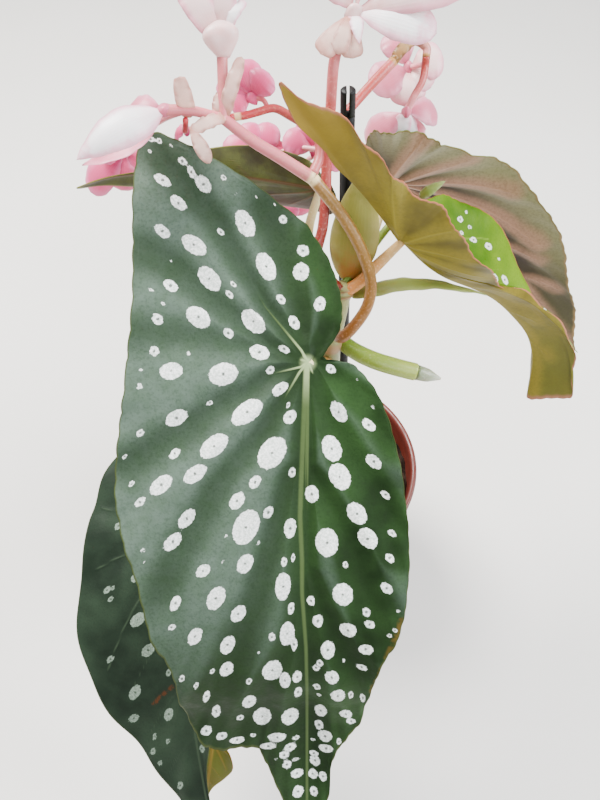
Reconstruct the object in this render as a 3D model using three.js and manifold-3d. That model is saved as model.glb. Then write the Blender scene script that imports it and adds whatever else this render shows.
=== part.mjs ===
// Potted polka dot begonia: a plastic pot of peaty soil, a stake, and an angel-wing begonia in flower.
// Millimetres, +Z up. The origin is the middle of the pot's base; the plant leans out towards -Y.
import * as THREE from "three";
import ManifoldLibrary from "manifold-3d";

const manifoldLibrary = await ManifoldLibrary();
manifoldLibrary.setup();
const { Manifold, Mesh: SolidMesh } = manifoldLibrary;

// ---------------------------------------------------------------- driving dimensions
const GAP = 0.35;                 // clear space between pieces that touch
const POT = {
  height: 105, rimRadius: 60, bandHeight: 13, bandStep: 2.5, baseRadius: 43, wall: 1.8, lip: 3.2,
  floor: 2.2, round: 0.6, drainRadius: 3.5, drainCircle: 31, drains: 6, sides: 40, drainSides: 12,
};
const SOIL_TOP = 93;              // mean height of the soil
const SOIL_BUMP = 1.6;            // how far its crumbs rise and fall
const SOIL_EDGE = 4;              // how much lower the soil lies at the pot's wall
const SOIL_RINGS = 3;
const SOIL_WAVES = [              // each wave's share of the bump, and its turn in radians per millimetre
  { share: 0.5, turnX: 0.21, turnY: 0.27 }, { share: 0.3, turnX: 0.55, turnY: -0.4 },
  { share: 0.2, turnX: 0.6, turnY: 0.8 },
];
const STAKE = { foot: [20.5, 2.6, 30], top: [8, -0.5, 323], radius: 2.3, slot: 0.9, slotDepth: 16 };
const BLADE = 0.9;                // thickness of a leaf blade
const CREASE = 3;                 // half width of the rounded crease along a midrib
const PETAL = 0.8;                // thickness of a tepal, a bract or a stipule
const TEPAL_FULLNESS = 0.75;      // how soon a tepal reaches its full width; 1 is a sine's slope
const TEPAL_END = 0.16;           // least width of a tepal, as a share of its full width
const TEPAL_START = 0.6;          // where a bloom's tepals leave its ovary, as a share of its radius
const KNOB_SIDES = 7;             // an ovary's facets
const KNOB_ROWS = 4;
const JOINT_SWELL = 1.1;          // how far a cane swells at a joint
const JOINT_SHARPNESS = 40;       // 1 / the share of the cane's length over which it does
const STEEP = 0.8;                // a stem steeper than this takes its sides from Y, not from Z

// ---------------------------------------------------------------- small helpers
const vector = (point) => new THREE.Vector3(...point);
const smooth = (share) => share * share * (3 - 2 * share);
const lerp = (from, to, share) => from + (to - from) * share;

function solid(points, faces) {
  const mesh = new SolidMesh({
    numProp: 3,
    vertProperties: Float32Array.from(points.flatMap((point) => [point.x, point.y, point.z])),
    triVerts: Uint32Array.from(faces.flat()),
  });
  return Manifold.ofMesh(mesh);
}

function solidOfGeometry(geometry) {
  const position = geometry.getAttribute("position");
  const index = geometry.index ? Array.from(geometry.index.array) : [...Array(position.count).keys()];
  const mesh = new SolidMesh({
    numProp: 3,
    vertProperties: Float32Array.from(position.array),
    triVerts: Uint32Array.from(index),
  });
  mesh.merge();
  return Manifold.ofMesh(mesh);
}

function meshOf(name, body, material) {
  const { vertProperties, triVerts, numProp } = body.getMesh();
  const geometry = new THREE.BufferGeometry();
  const positions = new Float32Array((vertProperties.length / numProp) * 3);
  for (let vertex = 0; vertex < positions.length / 3; vertex += 1) {
    for (let axis = 0; axis < 3; axis += 1) {
      positions[3 * vertex + axis] = vertProperties[numProp * vertex + axis];
    }
  }
  geometry.setAttribute("position", new THREE.BufferAttribute(positions, 3));
  geometry.setIndex(new THREE.BufferAttribute(new Uint32Array(triVerts), 1));
  geometry.computeVertexNormals();
  const mesh = new THREE.Mesh(geometry, material);
  mesh.name = name;
  return mesh;
}

// The largest single body of a cut solid: what a cut leaves loose is dropped.
function mainBody(body) {
  const pieces = body.decompose();
  pieces.sort((first, second) => second.volume() - first.volume());
  return pieces[0];
}

// ---------------------------------------------------------------- stems
// A round stem along a smooth curve. radii has one value for each point; swell adds rings of growth.
function stemStations(route, radii, steps, swell) {
  const curve = new THREE.CatmullRomCurve3(route.map(vector), false, "centripetal");
  const stations = [];
  let across = null;
  for (let step = 0; step <= steps; step += 1) {
    const along = step / steps;
    const tangent = curve.getTangent(along);
    if (across === null) {
      const helper = Math.abs(tangent.z) < STEEP ? new THREE.Vector3(0, 0, 1) : new THREE.Vector3(0, 1, 0);
      across = helper.cross(tangent).normalize();
    }
    across = across.clone().addScaledVector(tangent, -across.dot(tangent)).normalize();
    const place = along * (radii.length - 1);
    const slot = Math.min(Math.floor(place), radii.length - 2);
    const radius = lerp(radii[slot], radii[slot + 1], place - slot) + swell(along);
    stations.push({ centre: curve.getPoint(along), tangent, across, radius });
  }
  return stations;
}

function stem(route, radii, { steps = 8, sides = 6, grow = 0, swell = () => 0 } = {}) {
  const stations = stemStations(route, radii, steps, swell);
  if (grow > 0) {
    stations[0].centre.addScaledVector(stations[0].tangent, -grow);
    stations[steps].centre.addScaledVector(stations[steps].tangent, grow);
  }
  const points = [];
  for (const { centre, tangent, across, radius } of stations) {
    const up = tangent.clone().cross(across);
    for (let side = 0; side < sides; side += 1) {
      const angle = (2 * Math.PI * side) / sides;
      points.push(centre.clone()
        .addScaledVector(across, (radius + grow) * Math.cos(angle))
        .addScaledVector(up, (radius + grow) * Math.sin(angle)));
    }
  }
  const faces = [];
  for (let step = 0; step < steps; step += 1) {
    for (let side = 0; side < sides; side += 1) {
      const a = step * sides + side;
      const b = step * sides + ((side + 1) % sides);
      faces.push([a, b, b + sides], [a, b + sides, a + sides]);
    }
  }
  const first = points.push(stations[0].centre) - 1;
  const last = points.push(stations[steps].centre) - 1;
  for (let side = 0; side < sides; side += 1) {
    const next = (side + 1) % sides;
    faces.push([first, next, side], [last, steps * sides + side, steps * sides + next]);
  }
  return solid(points, faces);
}

function knob(at, radius) {
  return solidOfGeometry(new THREE.SphereGeometry(radius, KNOB_SIDES, KNOB_ROWS)).translate(at);
}

// ---------------------------------------------------------------- leaves
// A blade's outline round its stalk: x is the share of the wide (+) or narrow (-) half's width, y the
// share of the length to the tip (+) or of the ear behind the stalk (-).
const OUTLINE = [
  [-0.12, -0.04], [-0.3, -0.14], [-0.33, -0.27], [-0.21, -0.45], [0.04, -0.63], [0.32, -0.8],
  [0.62, -0.95], [0.84, -1], [0.92, -0.82], [0.98, -0.5], [1, -0.15], [1, 0.08], [1.02, 0.2],
  [1, 0.32], [0.92, 0.44], [0.76, 0.56], [0.58, 0.67], [0.42, 0.77], [0.26, 0.86], [0.12, 0.94],
  [0, 1], [-0.08, 0.82], [-0.2, 0.7], [-0.45, 0.59], [-0.7, 0.48], [-0.88, 0.37], [-1, 0.26],
  [-0.95, 0.16], [-0.8, 0.08], [-0.55, 0.01], [-0.3, -0.02],
];
// A narrow blade seen nearly edge on, and one that has stayed small, need fewer points.
const PLAIN_OUTLINE = OUTLINE.filter((_, place) => place % 2 === 0);
const YOUNG_OUTLINE = [
  [-0.06, -0.02], [-0.02, -0.12], [0.1, -0.28], [0.24, -0.45], [0.33, -0.6], [0.42, -0.75],
  [0.5, -0.88], [0.62, -1.03], [0.7, -0.93], [0.82, -0.8], [0.98, -0.7], [0.96, -0.6], [1.05, -0.5],
  [0.97, -0.4], [0.88, -0.3], [1, -0.2], [1.04, -0.1], [1.12, 0], [1.02, 0.1], [1.08, 0.2],
  [0.74, 0.29], [0.5, 0.37], [0.56, 0.44], [0.66, 0.52], [0.76, 0.6], [0.86, 0.68], [0.88, 0.76],
  [0.8, 0.84], [0.86, 0.93], [0.4, 0.97], [0, 0.99], [-0.2, 0.93], [-0.42, 0.82], [-0.62, 0.7],
  [-0.8, 0.56], [-0.94, 0.43], [-1, 0.3], [-0.95, 0.18], [-0.8, 0.08], [-0.55, 0.01], [-0.3, -0.02],
];
const BIG_OUTLINE = [
  [-0.16, -0.03], [-0.31, -0.14], [-0.33, -0.27], [-0.21, -0.45], [0.04, -0.63], [0.3, -0.79],
  [0.62, -0.94], [0.84, -1], [0.91, -0.88], [0.92, -0.6], [0.91, -0.3], [0.94, 0], [0.98, 0.1],
  [1.01, 0.19], [0.98, 0.27], [0.9, 0.36], [0.85, 0.45], [0.76, 0.52], [0.74, 0.6], [0.7, 0.69],
  [0.63, 0.74], [0.48, 0.755], [0.32, 0.76], [0.25, 0.8], [0.16, 0.87], [0.07, 0.94], [0, 1],
  [-0.14, 0.94], [-0.27, 0.87], [-0.3, 0.79], [-0.44, 0.74], [-0.62, 0.69], [-0.68, 0.6],
  [-0.76, 0.52], [-0.93, 0.45], [-1, 0.38], [-1.02, 0.3], [-0.97, 0.22], [-0.88, 0.14],
  [-0.72, 0.06], [-0.5, 0.01], [-0.3, -0.01],
];

// Shares of the way from the stalk to the margin at which a blade has its rings of points.
const RINGS = [0.22, 0.45, 0.65, 0.84, 1];
const BIG_RINGS = [0.2, 0.4, 0.54, 0.64, 0.74, 0.86, 1];
const FEW_RINGS = [0.35, 0.7, 1];

const LEAVES = {
  main_leaf: {
    at: [-3.5, -56, 265], toTip: [0, -0.82, -0.57], toWide: [-1, 0, 0], outline: BIG_OUTLINE,
    length: 200, ear: 73, wide: 60, narrow: 32, rings: BIG_RINGS,
    bend: [[-120, -12], [-40, -4], [0, 0], [60, 8], [105, 22], [124, 46], [145, 22], [175, 10]],
    fold: [4, 4], ruffle: { height: 0.8, count: 9 },
    stalk: [[5, -20, 224], [2, -36, 233], [-2, -49, 250], [-3.5, -56, 264.6]],
    stalkRadii: [2.8, 2.4, 2.3, 1.8],
  },
  lower_left_leaf: {
    at: [-52, -70, 166], toTip: [-0.13, -0.96, -0.26], toWide: [-0.9, 0.22, -0.37], outline: OUTLINE,
    length: 137, ear: 38, wide: 48, narrow: 28, rings: RINGS,
    bend: [[-80, -6], [0, 0], [60, 29], [130, 36]], fold: [15, 15], ruffle: { height: 1.2, count: 7 },
    stalk: [[-28, -42, 134], [-36, -52, 146], [-46, -64, 158], [-52, -70, 165.6]],
    stalkRadii: [2.2, 2, 2, 1.6],
  },
  young_leaf: {
    at: [29, -10, 274.4], toTip: [0.66, 0, -0.75], toWide: [0.37, -0.87, 0.33], outline: YOUNG_OUTLINE,
    length: 119, ear: 69, wide: 22, narrow: 34, rings: RINGS,
    bend: [[-80, -6], [0, 0], [35, -19], [70, 0], [110, 44]], fold: [36, 50],
    ruffle: { height: 1.6, count: 6 },
    stalk: [[9, -15, 254], [15, -14, 258], [22, -12, 266], [29, -10, 273.9]],
    stalkRadii: [2.4, 2.2, 2, 1.5],
  },
  right_leaf: {
    at: [30, 44, 258], toTip: [0.89, 0.19, -0.41], toWide: [0.44, -0.58, 0.68], outline: OUTLINE,
    length: 136, ear: 26, wide: 37, narrow: 21, rings: RINGS,
    bend: [[-80, -8], [0, 0], [60, 28], [130, 38]], fold: [12, 12], ruffle: { height: 1.2, count: 11 },
    stalk: [[9, -14, 252], [17, 2, 251], [25, 26, 252], [30, 44, 257.5]],
    stalkRadii: [2.3, 2, 2, 1.5],
  },
  back_left_leaf: {
    at: [1, 12, 279], toTip: [-0.98, 0, 0.2], toWide: [-0.05, 0.15, -0.98], outline: PLAIN_OUTLINE,
    length: 82, ear: 10, wide: 18, narrow: 13, rings: FEW_RINGS,
    bend: [[-60, -6], [0, 0], [45, 12], [82, 26]], fold: [20, 35], ruffle: { height: 0.8, count: 7 },
    stalk: [[6, -20, 236], [1, -8, 247], [-3, 4, 264], [1, 12, 278.6]],
    stalkRadii: [2, 1.8, 1.8, 1.4],
  },
  old_leaf: {
    at: [-46, -141, 90], toTip: [-0.15, -0.6, -0.78], toWide: [-1, 0.1, 0.1], outline: PLAIN_OUTLINE,
    length: 44, ear: 8, wide: 15, narrow: 8, rings: FEW_RINGS,
    bend: [[-20, 0], [0, 0], [44, 20]], fold: [12, 12], ruffle: { height: 1, count: 5 },
    stalk: [[-22, -34, 119], [-31, -72, 124], [-41, -118, 112], [-46, -141, 89.8]],
    stalkRadii: [1.2, 1.1, 1, 0.9],
  },
};

// The directions of a blade at its stalk: towards the tip, towards the wide half, and its upper side.
function bladeAxes({ toTip, toWide }) {
  const tip = vector(toTip).normalize();
  const wide = vector(toWide);
  wide.addScaledVector(tip, -wide.dot(tip)).normalize();
  const upper = wide.clone().cross(tip);
  return { tip, wide, upper };
}

function bendAt(bend, along) {
  let slot = 0;
  while (slot < bend.length - 2 && along > bend[slot + 1][0]) slot += 1;
  const [from, first] = bend[slot];
  const [to, second] = bend[slot + 1];
  const share = Math.min(Math.max((along - from) / (to - from), 0), 1);
  return THREE.MathUtils.degToRad(lerp(first, second, smooth(share)));
}

// How far the midrib has run forwards and sunk at a distance from the stalk, by millimetre steps.
function spineTable(bend, reach) {
  const table = new Map([[0, [0, 0]]]);
  for (const direction of [1, -1]) {
    let run = 0;
    let rise = 0;
    for (let step = 1; step <= reach; step += 1) {
      const angle = bendAt(bend, direction * (step - 0.5));
      run += direction * Math.cos(angle);
      rise -= direction * Math.sin(angle);
      table.set(direction * step, [run, rise]);
    }
  }
  return table;
}

function spineAt(table, along) {
  const below = Math.floor(along);
  const [run, rise] = table.get(below);
  const [nextRun, nextRise] = table.get(below + 1);
  return [lerp(run, nextRun, along - below), lerp(rise, nextRise, along - below)];
}

// Points and normals of a blade's middle surface, on rings from the stalk out to the margin.
function bladeRings(leaf) {
  const { tip, wide, upper } = bladeAxes(leaf);
  const table = spineTable(leaf.bend, Math.ceil(Math.max(leaf.length, leaf.ear) * 1.1) + 2);
  const rings = [];
  for (const share of [0, ...leaf.rings]) {
    rings.push(leaf.outline.map(([acrossShare, alongShare], spoke) => {
      const across = share * acrossShare * (acrossShare > 0 ? leaf.wide : leaf.narrow);
      const along = share * alongShare * (alongShare > 0 ? leaf.length : leaf.ear);
      const fold = THREE.MathUtils.degToRad(leaf.fold[across > 0 ? 0 : 1]);
      const crease = Math.hypot(across, CREASE);
      const turn = 2 * Math.PI * leaf.ruffle.count * (spoke / leaf.outline.length);
      const lift = (crease - CREASE) * Math.sin(fold) + leaf.ruffle.height * share ** 3 * Math.sin(turn);
      const slope = (fold * across) / crease;
      const [run, rise] = spineAt(table, along);
      const bend = bendAt(leaf.bend, along);
      const over = upper.clone().multiplyScalar(Math.cos(bend)).addScaledVector(tip, Math.sin(bend));
      const point = vector(leaf.at).addScaledVector(tip, run).addScaledVector(upper, rise)
        .addScaledVector(wide, across * Math.cos(fold)).addScaledVector(over, lift);
      const normal = over.multiplyScalar(Math.cos(slope)).addScaledVector(wide, -Math.sin(slope));
      return { point, normal };
    }));
  }
  return rings;
}

function blade(leaf) {
  const rings = bladeRings(leaf);
  const spokes = leaf.outline.length;
  const points = [];
  const faces = [];
  for (const face of [1, -1]) {
    const start = points.length;
    const centre = rings[0][0];
    points.push(centre.point.clone().addScaledVector(centre.normal, (face * BLADE) / 2));
    for (const ring of rings.slice(1)) {
      for (const { point, normal } of ring) {
        points.push(point.clone().addScaledVector(normal, (face * BLADE) / 2));
      }
    }
    const add = (a, b, c) => faces.push(face > 0 ? [a, b, c] : [a, c, b]);
    for (let spoke = 0; spoke < spokes; spoke += 1) {
      const next = (spoke + 1) % spokes;
      add(start, start + 1 + spoke, start + 1 + next);
      for (let ring = 1; ring < leaf.rings.length; ring += 1) {
        const inner = start + 1 + (ring - 1) * spokes;
        const outer = inner + spokes;
        add(inner + spoke, outer + spoke, outer + next);
        add(inner + spoke, outer + next, inner + next);
      }
    }
  }
  const half = points.length / 2;
  const margin = 1 + (leaf.rings.length - 1) * spokes;
  for (let spoke = 0; spoke < spokes; spoke += 1) {
    const a = margin + spoke;
    const b = margin + ((spoke + 1) % spokes);
    faces.push([a, a + half, b + half], [a, b + half, b]);
  }
  return solid(points, faces);
}

function leafSolid(leaf) {
  return blade(leaf).add(stem(leaf.stalk, leaf.stalkRadii, { steps: 7, sides: 7 }));
}

// ---------------------------------------------------------------- tepals, bracts and stipules
// A petal-like blade from its base to its tip. face is the way its bulging side looks.
function tepal(base, { tip, width, cup = 0.2, bow = 0.1, face = [0, -0.57, 0.82], blunt = 0.6 }) {
  const along = vector(tip).sub(vector(base));
  const length = along.length();
  const direction = along.clone().normalize();
  const side = direction.clone().cross(vector(face)).normalize();
  const normal = side.clone().cross(direction);
  const columns = 5;
  const rows = 2;
  const points = [];
  const faces = [];
  for (const layer of [1, -1]) {
    for (let column = 0; column <= columns; column += 1) {
      const share = column / columns;
      const half = (width / 2) * Math.max(Math.sin(Math.PI * share ** blunt) ** TEPAL_FULLNESS, TEPAL_END);
      for (let row = 0; row <= rows; row += 1) {
        const across = (2 * row) / rows - 1;
        const bulge = cup * width * (1 - across * across) * (half / (width / 2))
          + bow * length * Math.sin(Math.PI * share);
        points.push(vector(base).addScaledVector(along, share).addScaledVector(side, half * across)
          .addScaledVector(normal, bulge + (layer * PETAL) / 2));
      }
    }
  }
  const line = rows + 1;
  const layerSize = line * (columns + 1);
  for (let column = 0; column < columns; column += 1) {
    for (let row = 0; row < rows; row += 1) {
      const a = column * line + row;
      const b = a + line;
      faces.push([a, b + 1, b], [a, a + 1, b + 1]);
      faces.push([a + layerSize, b + layerSize, b + 1 + layerSize]);
      faces.push([a + layerSize, b + 1 + layerSize, a + 1 + layerSize]);
    }
  }
  const border = [];
  for (let row = 0; row < rows; row += 1) border.push(row);
  for (let column = 0; column < columns; column += 1) border.push(column * line + rows);
  for (let row = rows; row > 0; row -= 1) border.push(columns * line + row);
  for (let column = columns; column > 0; column -= 1) border.push(column * line);
  border.forEach((a, place) => {
    const b = border[(place + 1) % border.length];
    faces.push([a, a + layerSize, b + layerSize], [a, b + layerSize, b]);
  });
  return solid(points, faces);
}

const HOT_PINK = "#e7709f";
const PALE_PINK = "#efcfd6";
const FLOWERS = {
  left_flower_boat: {
    color: PALE_PINK, base: [-46, -3, 318], ovary: 2.6, tepals: [
      { tip: [-70, -20, 313], width: 12 },
      { tip: [-71, -12, 304], width: 12, face: [0, 0.6, -0.8] },
      { tip: [-60, -4, 316], width: 6, face: [0, 0.6, 0.6] },
    ],
  },
  left_flower_low: {
    color: HOT_PINK, base: [-68, 21, 288], ovary: 2.4, tepals: [
      { tip: [-82, 14, 276], width: 11 }, { tip: [-71, 15, 276], width: 11 },
      { tip: [-60, 20, 281], width: 9 }, { tip: [-77, 18, 290], width: 9 },
    ],
  },
  left_flower_bud: {
    color: HOT_PINK, base: [-41.5, 3, 307.5], ovary: 1.8, tepals: [
      { tip: [-46, 7, 304], width: 5, bow: 0.02 }, { tip: [-41, 8.5, 303], width: 5, bow: 0.02 },
    ],
  },
  left_flower_top: {
    color: PALE_PINK, base: [-29, 13, 330.5], ovary: 4.6, tepals: [
      { tip: [-40, 20, 342], width: 9 }, { tip: [-27, 26, 345], width: 9 },
      { tip: [-35, 30, 342], width: 9, face: [0, 0.6, 0.8] }, { tip: [-22, 20, 337], width: 4 },
    ],
  },
  left_flower_arc: {
    color: HOT_PINK, base: [-21, 12, 313], ovary: 2.2, tepals: [
      { tip: [-24, 20, 321], width: 9 }, { tip: [-16, 14, 320], width: 8 },
      { tip: [-29, 13, 311], width: 8 }, { tip: [-33, 18, 315], width: 8 },
    ],
  },
  back_flower_left: {
    color: HOT_PINK, base: [-19, 18, 286], ovary: 2.2, tepals: [
      { tip: [-33, 22, 291], width: 9 }, { tip: [-26, 27, 295], width: 9 },
      { tip: [-17, 28, 295], width: 9 }, { tip: [-11, 23, 289], width: 8 },
    ],
  },
  back_flower_right: {
    color: HOT_PINK, base: [-1, 20, 289], ovary: 2.2, tepals: [
      { tip: [-12, 22, 293], width: 9 }, { tip: [-3, 28, 297], width: 10 },
      { tip: [8, 26, 295], width: 9 }, { tip: [10, 19, 284], width: 8 },
    ],
  },
  back_flower_low: {
    color: HOT_PINK, base: [-7, 30, 263], ovary: 2, tepals: [
      { tip: [-12, 27, 255], width: 8 }, { tip: [-5, 27, 255], width: 8 },
      { tip: [-14, 33, 262], width: 7 },
    ],
  },
  right_flower_top: {
    color: PALE_PINK, base: [11, 33, 329], ovary: 3, tepals: [
      { tip: [35, 25, 328], width: 11 }, { tip: [46, 32, 338], width: 13 },
      { tip: [2, 42, 336], width: 9 }, { tip: [22, 46, 341], width: 12, face: [0, 0.6, 0.8] },
    ],
  },
  right_flower_middle: {
    color: PALE_PINK, base: [34, 55, 300], ovary: 3, tepals: [
      { tip: [20, 47, 296], width: 13 }, { tip: [27, 65, 308], width: 13 },
      { tip: [46, 55, 303], width: 13 }, { tip: [32, 43, 290], width: 12 },
    ],
  },
  right_flower_low: {
    color: PALE_PINK, base: [32, 34, 295], ovary: 2.6, tepals: [
      { tip: [19, 38, 280], width: 11 }, { tip: [44, 41, 290], width: 10 },
      { tip: [36, 39, 276], width: 12 }, { tip: [30, 33, 286], width: 7 },
    ],
  },
};

function bloom({ base, ovary, tepals }) {
  const middle = vector(base);
  const pieces = tepals.map((piece) => {
    const outwards = vector(piece.tip).sub(middle).normalize();
    return tepal(middle.clone().addScaledVector(outwards, TEPAL_START * ovary).toArray(), piece);
  });
  pieces.push(knob(base, ovary));
  return Manifold.union(pieces);
}

// ---------------------------------------------------------------- stalks
const CANE = {
  route: [
    [8, 2, 40], [8, -2, 98], [8, -8, 150], [7, -16, 200], [6, -21, 235], [9, -15, 254], [9, -12, 266],
  ],
  radii: [4.6, 4.6, 4.4, 4.1, 3.9, 3.6, 2.6], joints: [0.36, 0.49, 0.66, 0.84, 0.93], steps: 30,
};
const SECOND_CANE = {
  route: [[-12, -18, 50], [-15, -25, 98], [-21, -34, 118], [-28, -43, 136]],
  radii: [3.6, 3.5, 3.2, 2.8], joints: [0.76, 0.97], steps: 14,
};
const LEFT_STALK = [
  {
    route: [
      [6, -19, 242], [9, -30, 247], [17, -26, 257], [18.5, -22, 265], [15, -18, 276], [8, -13, 287],
      [-2, -8, 298],
    ],
    radii: [2.2, 2, 2], steps: 14,
  },
  { route: [[-2, -8, 298], [-12, -6, 304], [-21, -4, 309], [-29, -1, 314]], radii: [2, 1.7], steps: 4 },
  { route: [[-29, -1, 314], [-29, 3, 319], [-29, 9, 325.6]], radii: [1.5, 1.8], steps: 3 },
  { route: [[-29, -1, 314], [-37, -2, 317], [-42, -2.5, 317.8]], radii: [1.4, 1.6], steps: 3 },
  {
    route: [
      [-2, -7, 299], [0, -2, 301], [0, 2, 304], [-3, 5, 307], [-9, 7, 310], [-14, 8, 312], [-19, 6, 312],
      [-23, 4, 312], [-27, 3, 312],
    ],
    radii: [1.6, 1.3, 1.1], steps: 14,
  },
  { route: [[-16, 8, 312], [-17.5, 10.5, 313.3]], radii: [0.8, 0.8], steps: 1 },
  { route: [[-41, -2, 317], [-49, 7, 309], [-61, 18, 296], [-66.5, 20.5, 290]], radii: [1, 0.8], steps: 5 },
  { route: [[-40, -4, 315.5], [-41, -1, 311], [-41.7, 1, 308.8]], radii: [0.9, 0.9], steps: 2 },
];
const LEFT_BRACTS = [
  { base: [-29, -1, 314], tip: [-23, 8, 328], width: 5 },
  { base: [-29, -2, 314.5], tip: [-38, -8, 314], width: 5.5 },
  { base: [-37.5, -7.5, 314], tip: [-33, -13, 307], width: 5.5 },
  { base: [-39, -2, 316], tip: [-41, -1, 327], width: 5.5 },
];
const RIGHT_STALK = [
  {
    route: [
      [8, -17, 258], [0, -11, 266], [2, -3, 275], [3, 6, 285], [3, 12, 294], [4, 18, 305], [5, 24, 319],
      [7, 28, 323], [9.5, 31, 326.4],
    ],
    radii: [1.9, 1.8, 1.8, 1.5], steps: 16,
  },
  {
    route: [
      [4, 15, 297], [9, 22, 301], [13, 27, 303], [20, 34, 307], [26, 40, 310], [30, 45, 312], [34, 48, 313],
      [38, 47, 311], [38, 45, 309], [38, 44, 306], [37, 40, 303], [34, 36, 299.5],
    ],
    radii: [1.6, 1.7, 1.2], steps: 18,
  },
  { route: [[38, 44, 307], [37, 49, 304], [35.6, 52.6, 301.6]], radii: [0.9, 0.9], steps: 2 },
  { route: [[3, 12, 294], [1, 16, 292], [-1, 18, 290.5]], radii: [0.9, 0.9], steps: 2 },
  { route: [[1, 16, 292], [-8, 20, 290], [-16.5, 18.5, 287.3]], radii: [0.9, 0.9], steps: 3 },
  { route: [[1, 16, 292], [0, 24, 285], [-5, 31, 275], [-7, 31, 264.5]], radii: [0.9, 0.9], steps: 4 },
];
const RIGHT_BRACTS = [
  { base: [8.5, 28.5, 325.5], tip: [1, 21.5, 321.5], width: 6.5, blunt: 0.8 },
  { base: [8.5, 28.5, 325.5], tip: [10.5, 20.5, 320], width: 6.5, blunt: 0.8 },
  { base: [27, 41, 311], tip: [34, 47.5, 314.5], width: 4.5 },
];
const SIDE_SHOOT = {
  route: [[9, -19, 233], [15, -25, 233], [22, -29, 232.5], [30, -31, 231], [38, -32, 229]],
  radii: [3, 3.3, 3.4, 3.4],
};
const SHOOT_BUD = { route: [[38.5, -32, 228.8], [43, -32.5, 227.5], [48, -33, 226]], radii: [3, 2.6, 0.5] };
const TERMINAL_SHOOT = {
  route: [[10, -10, 263], [18, -4, 262], [25, 8, 262], [33, 16.5, 266], [38.3, 18, 270]],
  radii: [2, 1.6, 1.2],
};
const STIPULES = {
  narrow_stipule: {
    base: [13, -12, 250], tip: [62, -16, 254], width: 9.6, cup: 0.12, face: [0, 0.2, 0.98], blunt: 0.45,
  },
  broad_stipule: {
    base: [12, -10.4, 255], tip: [14, -4, 298], width: 17, cup: 0.08, bow: 0.02, blunt: 0.8,
  },
  terminal_bud: { base: [38.7, 18.4, 270.6], tip: [47.5, 20.3, 276.2], width: 4, cup: 0.3 },
};

// A cane is swollen at its joints, which are given as shares of its length.
function cane({ route, radii, joints, steps }, grow = 0) {
  const bulge = (along) => joints.map((joint) => 1 - JOINT_SHARPNESS * Math.abs(along - joint));
  const swell = (along) => JOINT_SWELL * Math.max(0, ...bulge(along));
  return stem(route, radii, { steps, sides: 10, grow, swell });
}

function stalkSystem(stalks, bracts, grow = 0) {
  const pieces = stalks.map(({ route, radii, steps }) => stem(route, radii, { steps, grow }));
  if (grow === 0) pieces.push(...bracts.map(({ base, ...shape }) => tepal(base, shape)));
  return Manifold.union(pieces);
}

// ---------------------------------------------------------------- pot, soil and stake
function potWallRadius(height) {
  return lerp(POT.baseRadius, POT.rimRadius - POT.bandStep, height / (POT.height - POT.bandHeight));
}

function potInnerRadius(height) {
  const bandFoot = POT.height - POT.bandHeight;
  const share = (height - POT.floor) / (bandFoot - POT.floor);
  return lerp(POT.baseRadius - POT.wall, potWallRadius(bandFoot) - POT.wall + POT.round, share);
}

function pot() {
  const bandFoot = POT.height - POT.bandHeight;
  const shoulder = potWallRadius(bandFoot);
  const profile = [
    [0, 0], [POT.baseRadius, 0], [shoulder, bandFoot], [POT.rimRadius - POT.round, bandFoot + POT.round],
    [POT.rimRadius, POT.height - 2 * POT.round], [POT.rimRadius - 1.5 * POT.round, POT.height],
    [POT.rimRadius - POT.lip, POT.height - POT.round], [shoulder - POT.wall + POT.round, bandFoot],
    [POT.baseRadius - POT.wall, POT.floor], [0, POT.floor],
  ].map(([radius, height]) => new THREE.Vector2(radius, height));
  const shell = new THREE.LatheGeometry(profile, POT.sides);
  shell.rotateX(Math.PI / 2);
  let body = solidOfGeometry(shell);
  for (let drain = 0; drain < POT.drains; drain += 1) {
    const angle = (2 * Math.PI * drain) / POT.drains;
    const hole = Manifold.cylinder(
      4 * POT.floor, POT.drainRadius, POT.drainRadius, POT.drainSides, true,
    );
    body = body.subtract(hole.translate([
      POT.drainCircle * Math.cos(angle), POT.drainCircle * Math.sin(angle), POT.floor / 2,
    ]));
  }
  return body;
}

// Crumbs of soil: waves of unlike length, so no two places are alike.
function crumb(x, y) {
  const heights = SOIL_WAVES.map(({ share, turnX, turnY }) => share * Math.sin(turnX * x + turnY * y));
  return SOIL_BUMP * heights.reduce((sum, height) => sum + height, 0);
}

function soil() {
  const sectors = POT.sides;
  const rings = SOIL_RINGS;
  const inside = (height) => potInnerRadius(height) - GAP;
  const points = [new THREE.Vector3(0, 0, SOIL_TOP + crumb(0, 0))];
  const faces = [];
  for (let ring = 1; ring <= rings; ring += 1) {
    const radius = (inside(SOIL_TOP - SOIL_EDGE) * ring) / rings;
    for (let sector = 0; sector < sectors; sector += 1) {
      const angle = (2 * Math.PI * sector) / sectors;
      const x = radius * Math.cos(angle);
      const y = radius * Math.sin(angle);
      points.push(new THREE.Vector3(x, y, SOIL_TOP - (ring === rings ? SOIL_EDGE : 0) + crumb(x, y)));
    }
  }
  const foot = POT.floor + GAP;
  for (let sector = 0; sector < sectors; sector += 1) {
    const angle = (2 * Math.PI * sector) / sectors;
    points.push(new THREE.Vector3(inside(foot) * Math.cos(angle), inside(foot) * Math.sin(angle), foot));
  }
  points.push(new THREE.Vector3(0, 0, foot));
  for (let sector = 0; sector < sectors; sector += 1) {
    const next = (sector + 1) % sectors;
    faces.push([0, 1 + sector, 1 + next]);
    for (let ring = 0; ring < rings; ring += 1) {
      const inner = 1 + ring * sectors;
      const outer = inner + sectors;
      faces.push([inner + sector, outer + sector, outer + next]);
      faces.push([inner + sector, outer + next, inner + next]);
    }
    const last = 1 + rings * sectors;
    faces.push([points.length - 1, last + next, last + sector]);
  }
  return solid(points, faces);
}

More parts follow.
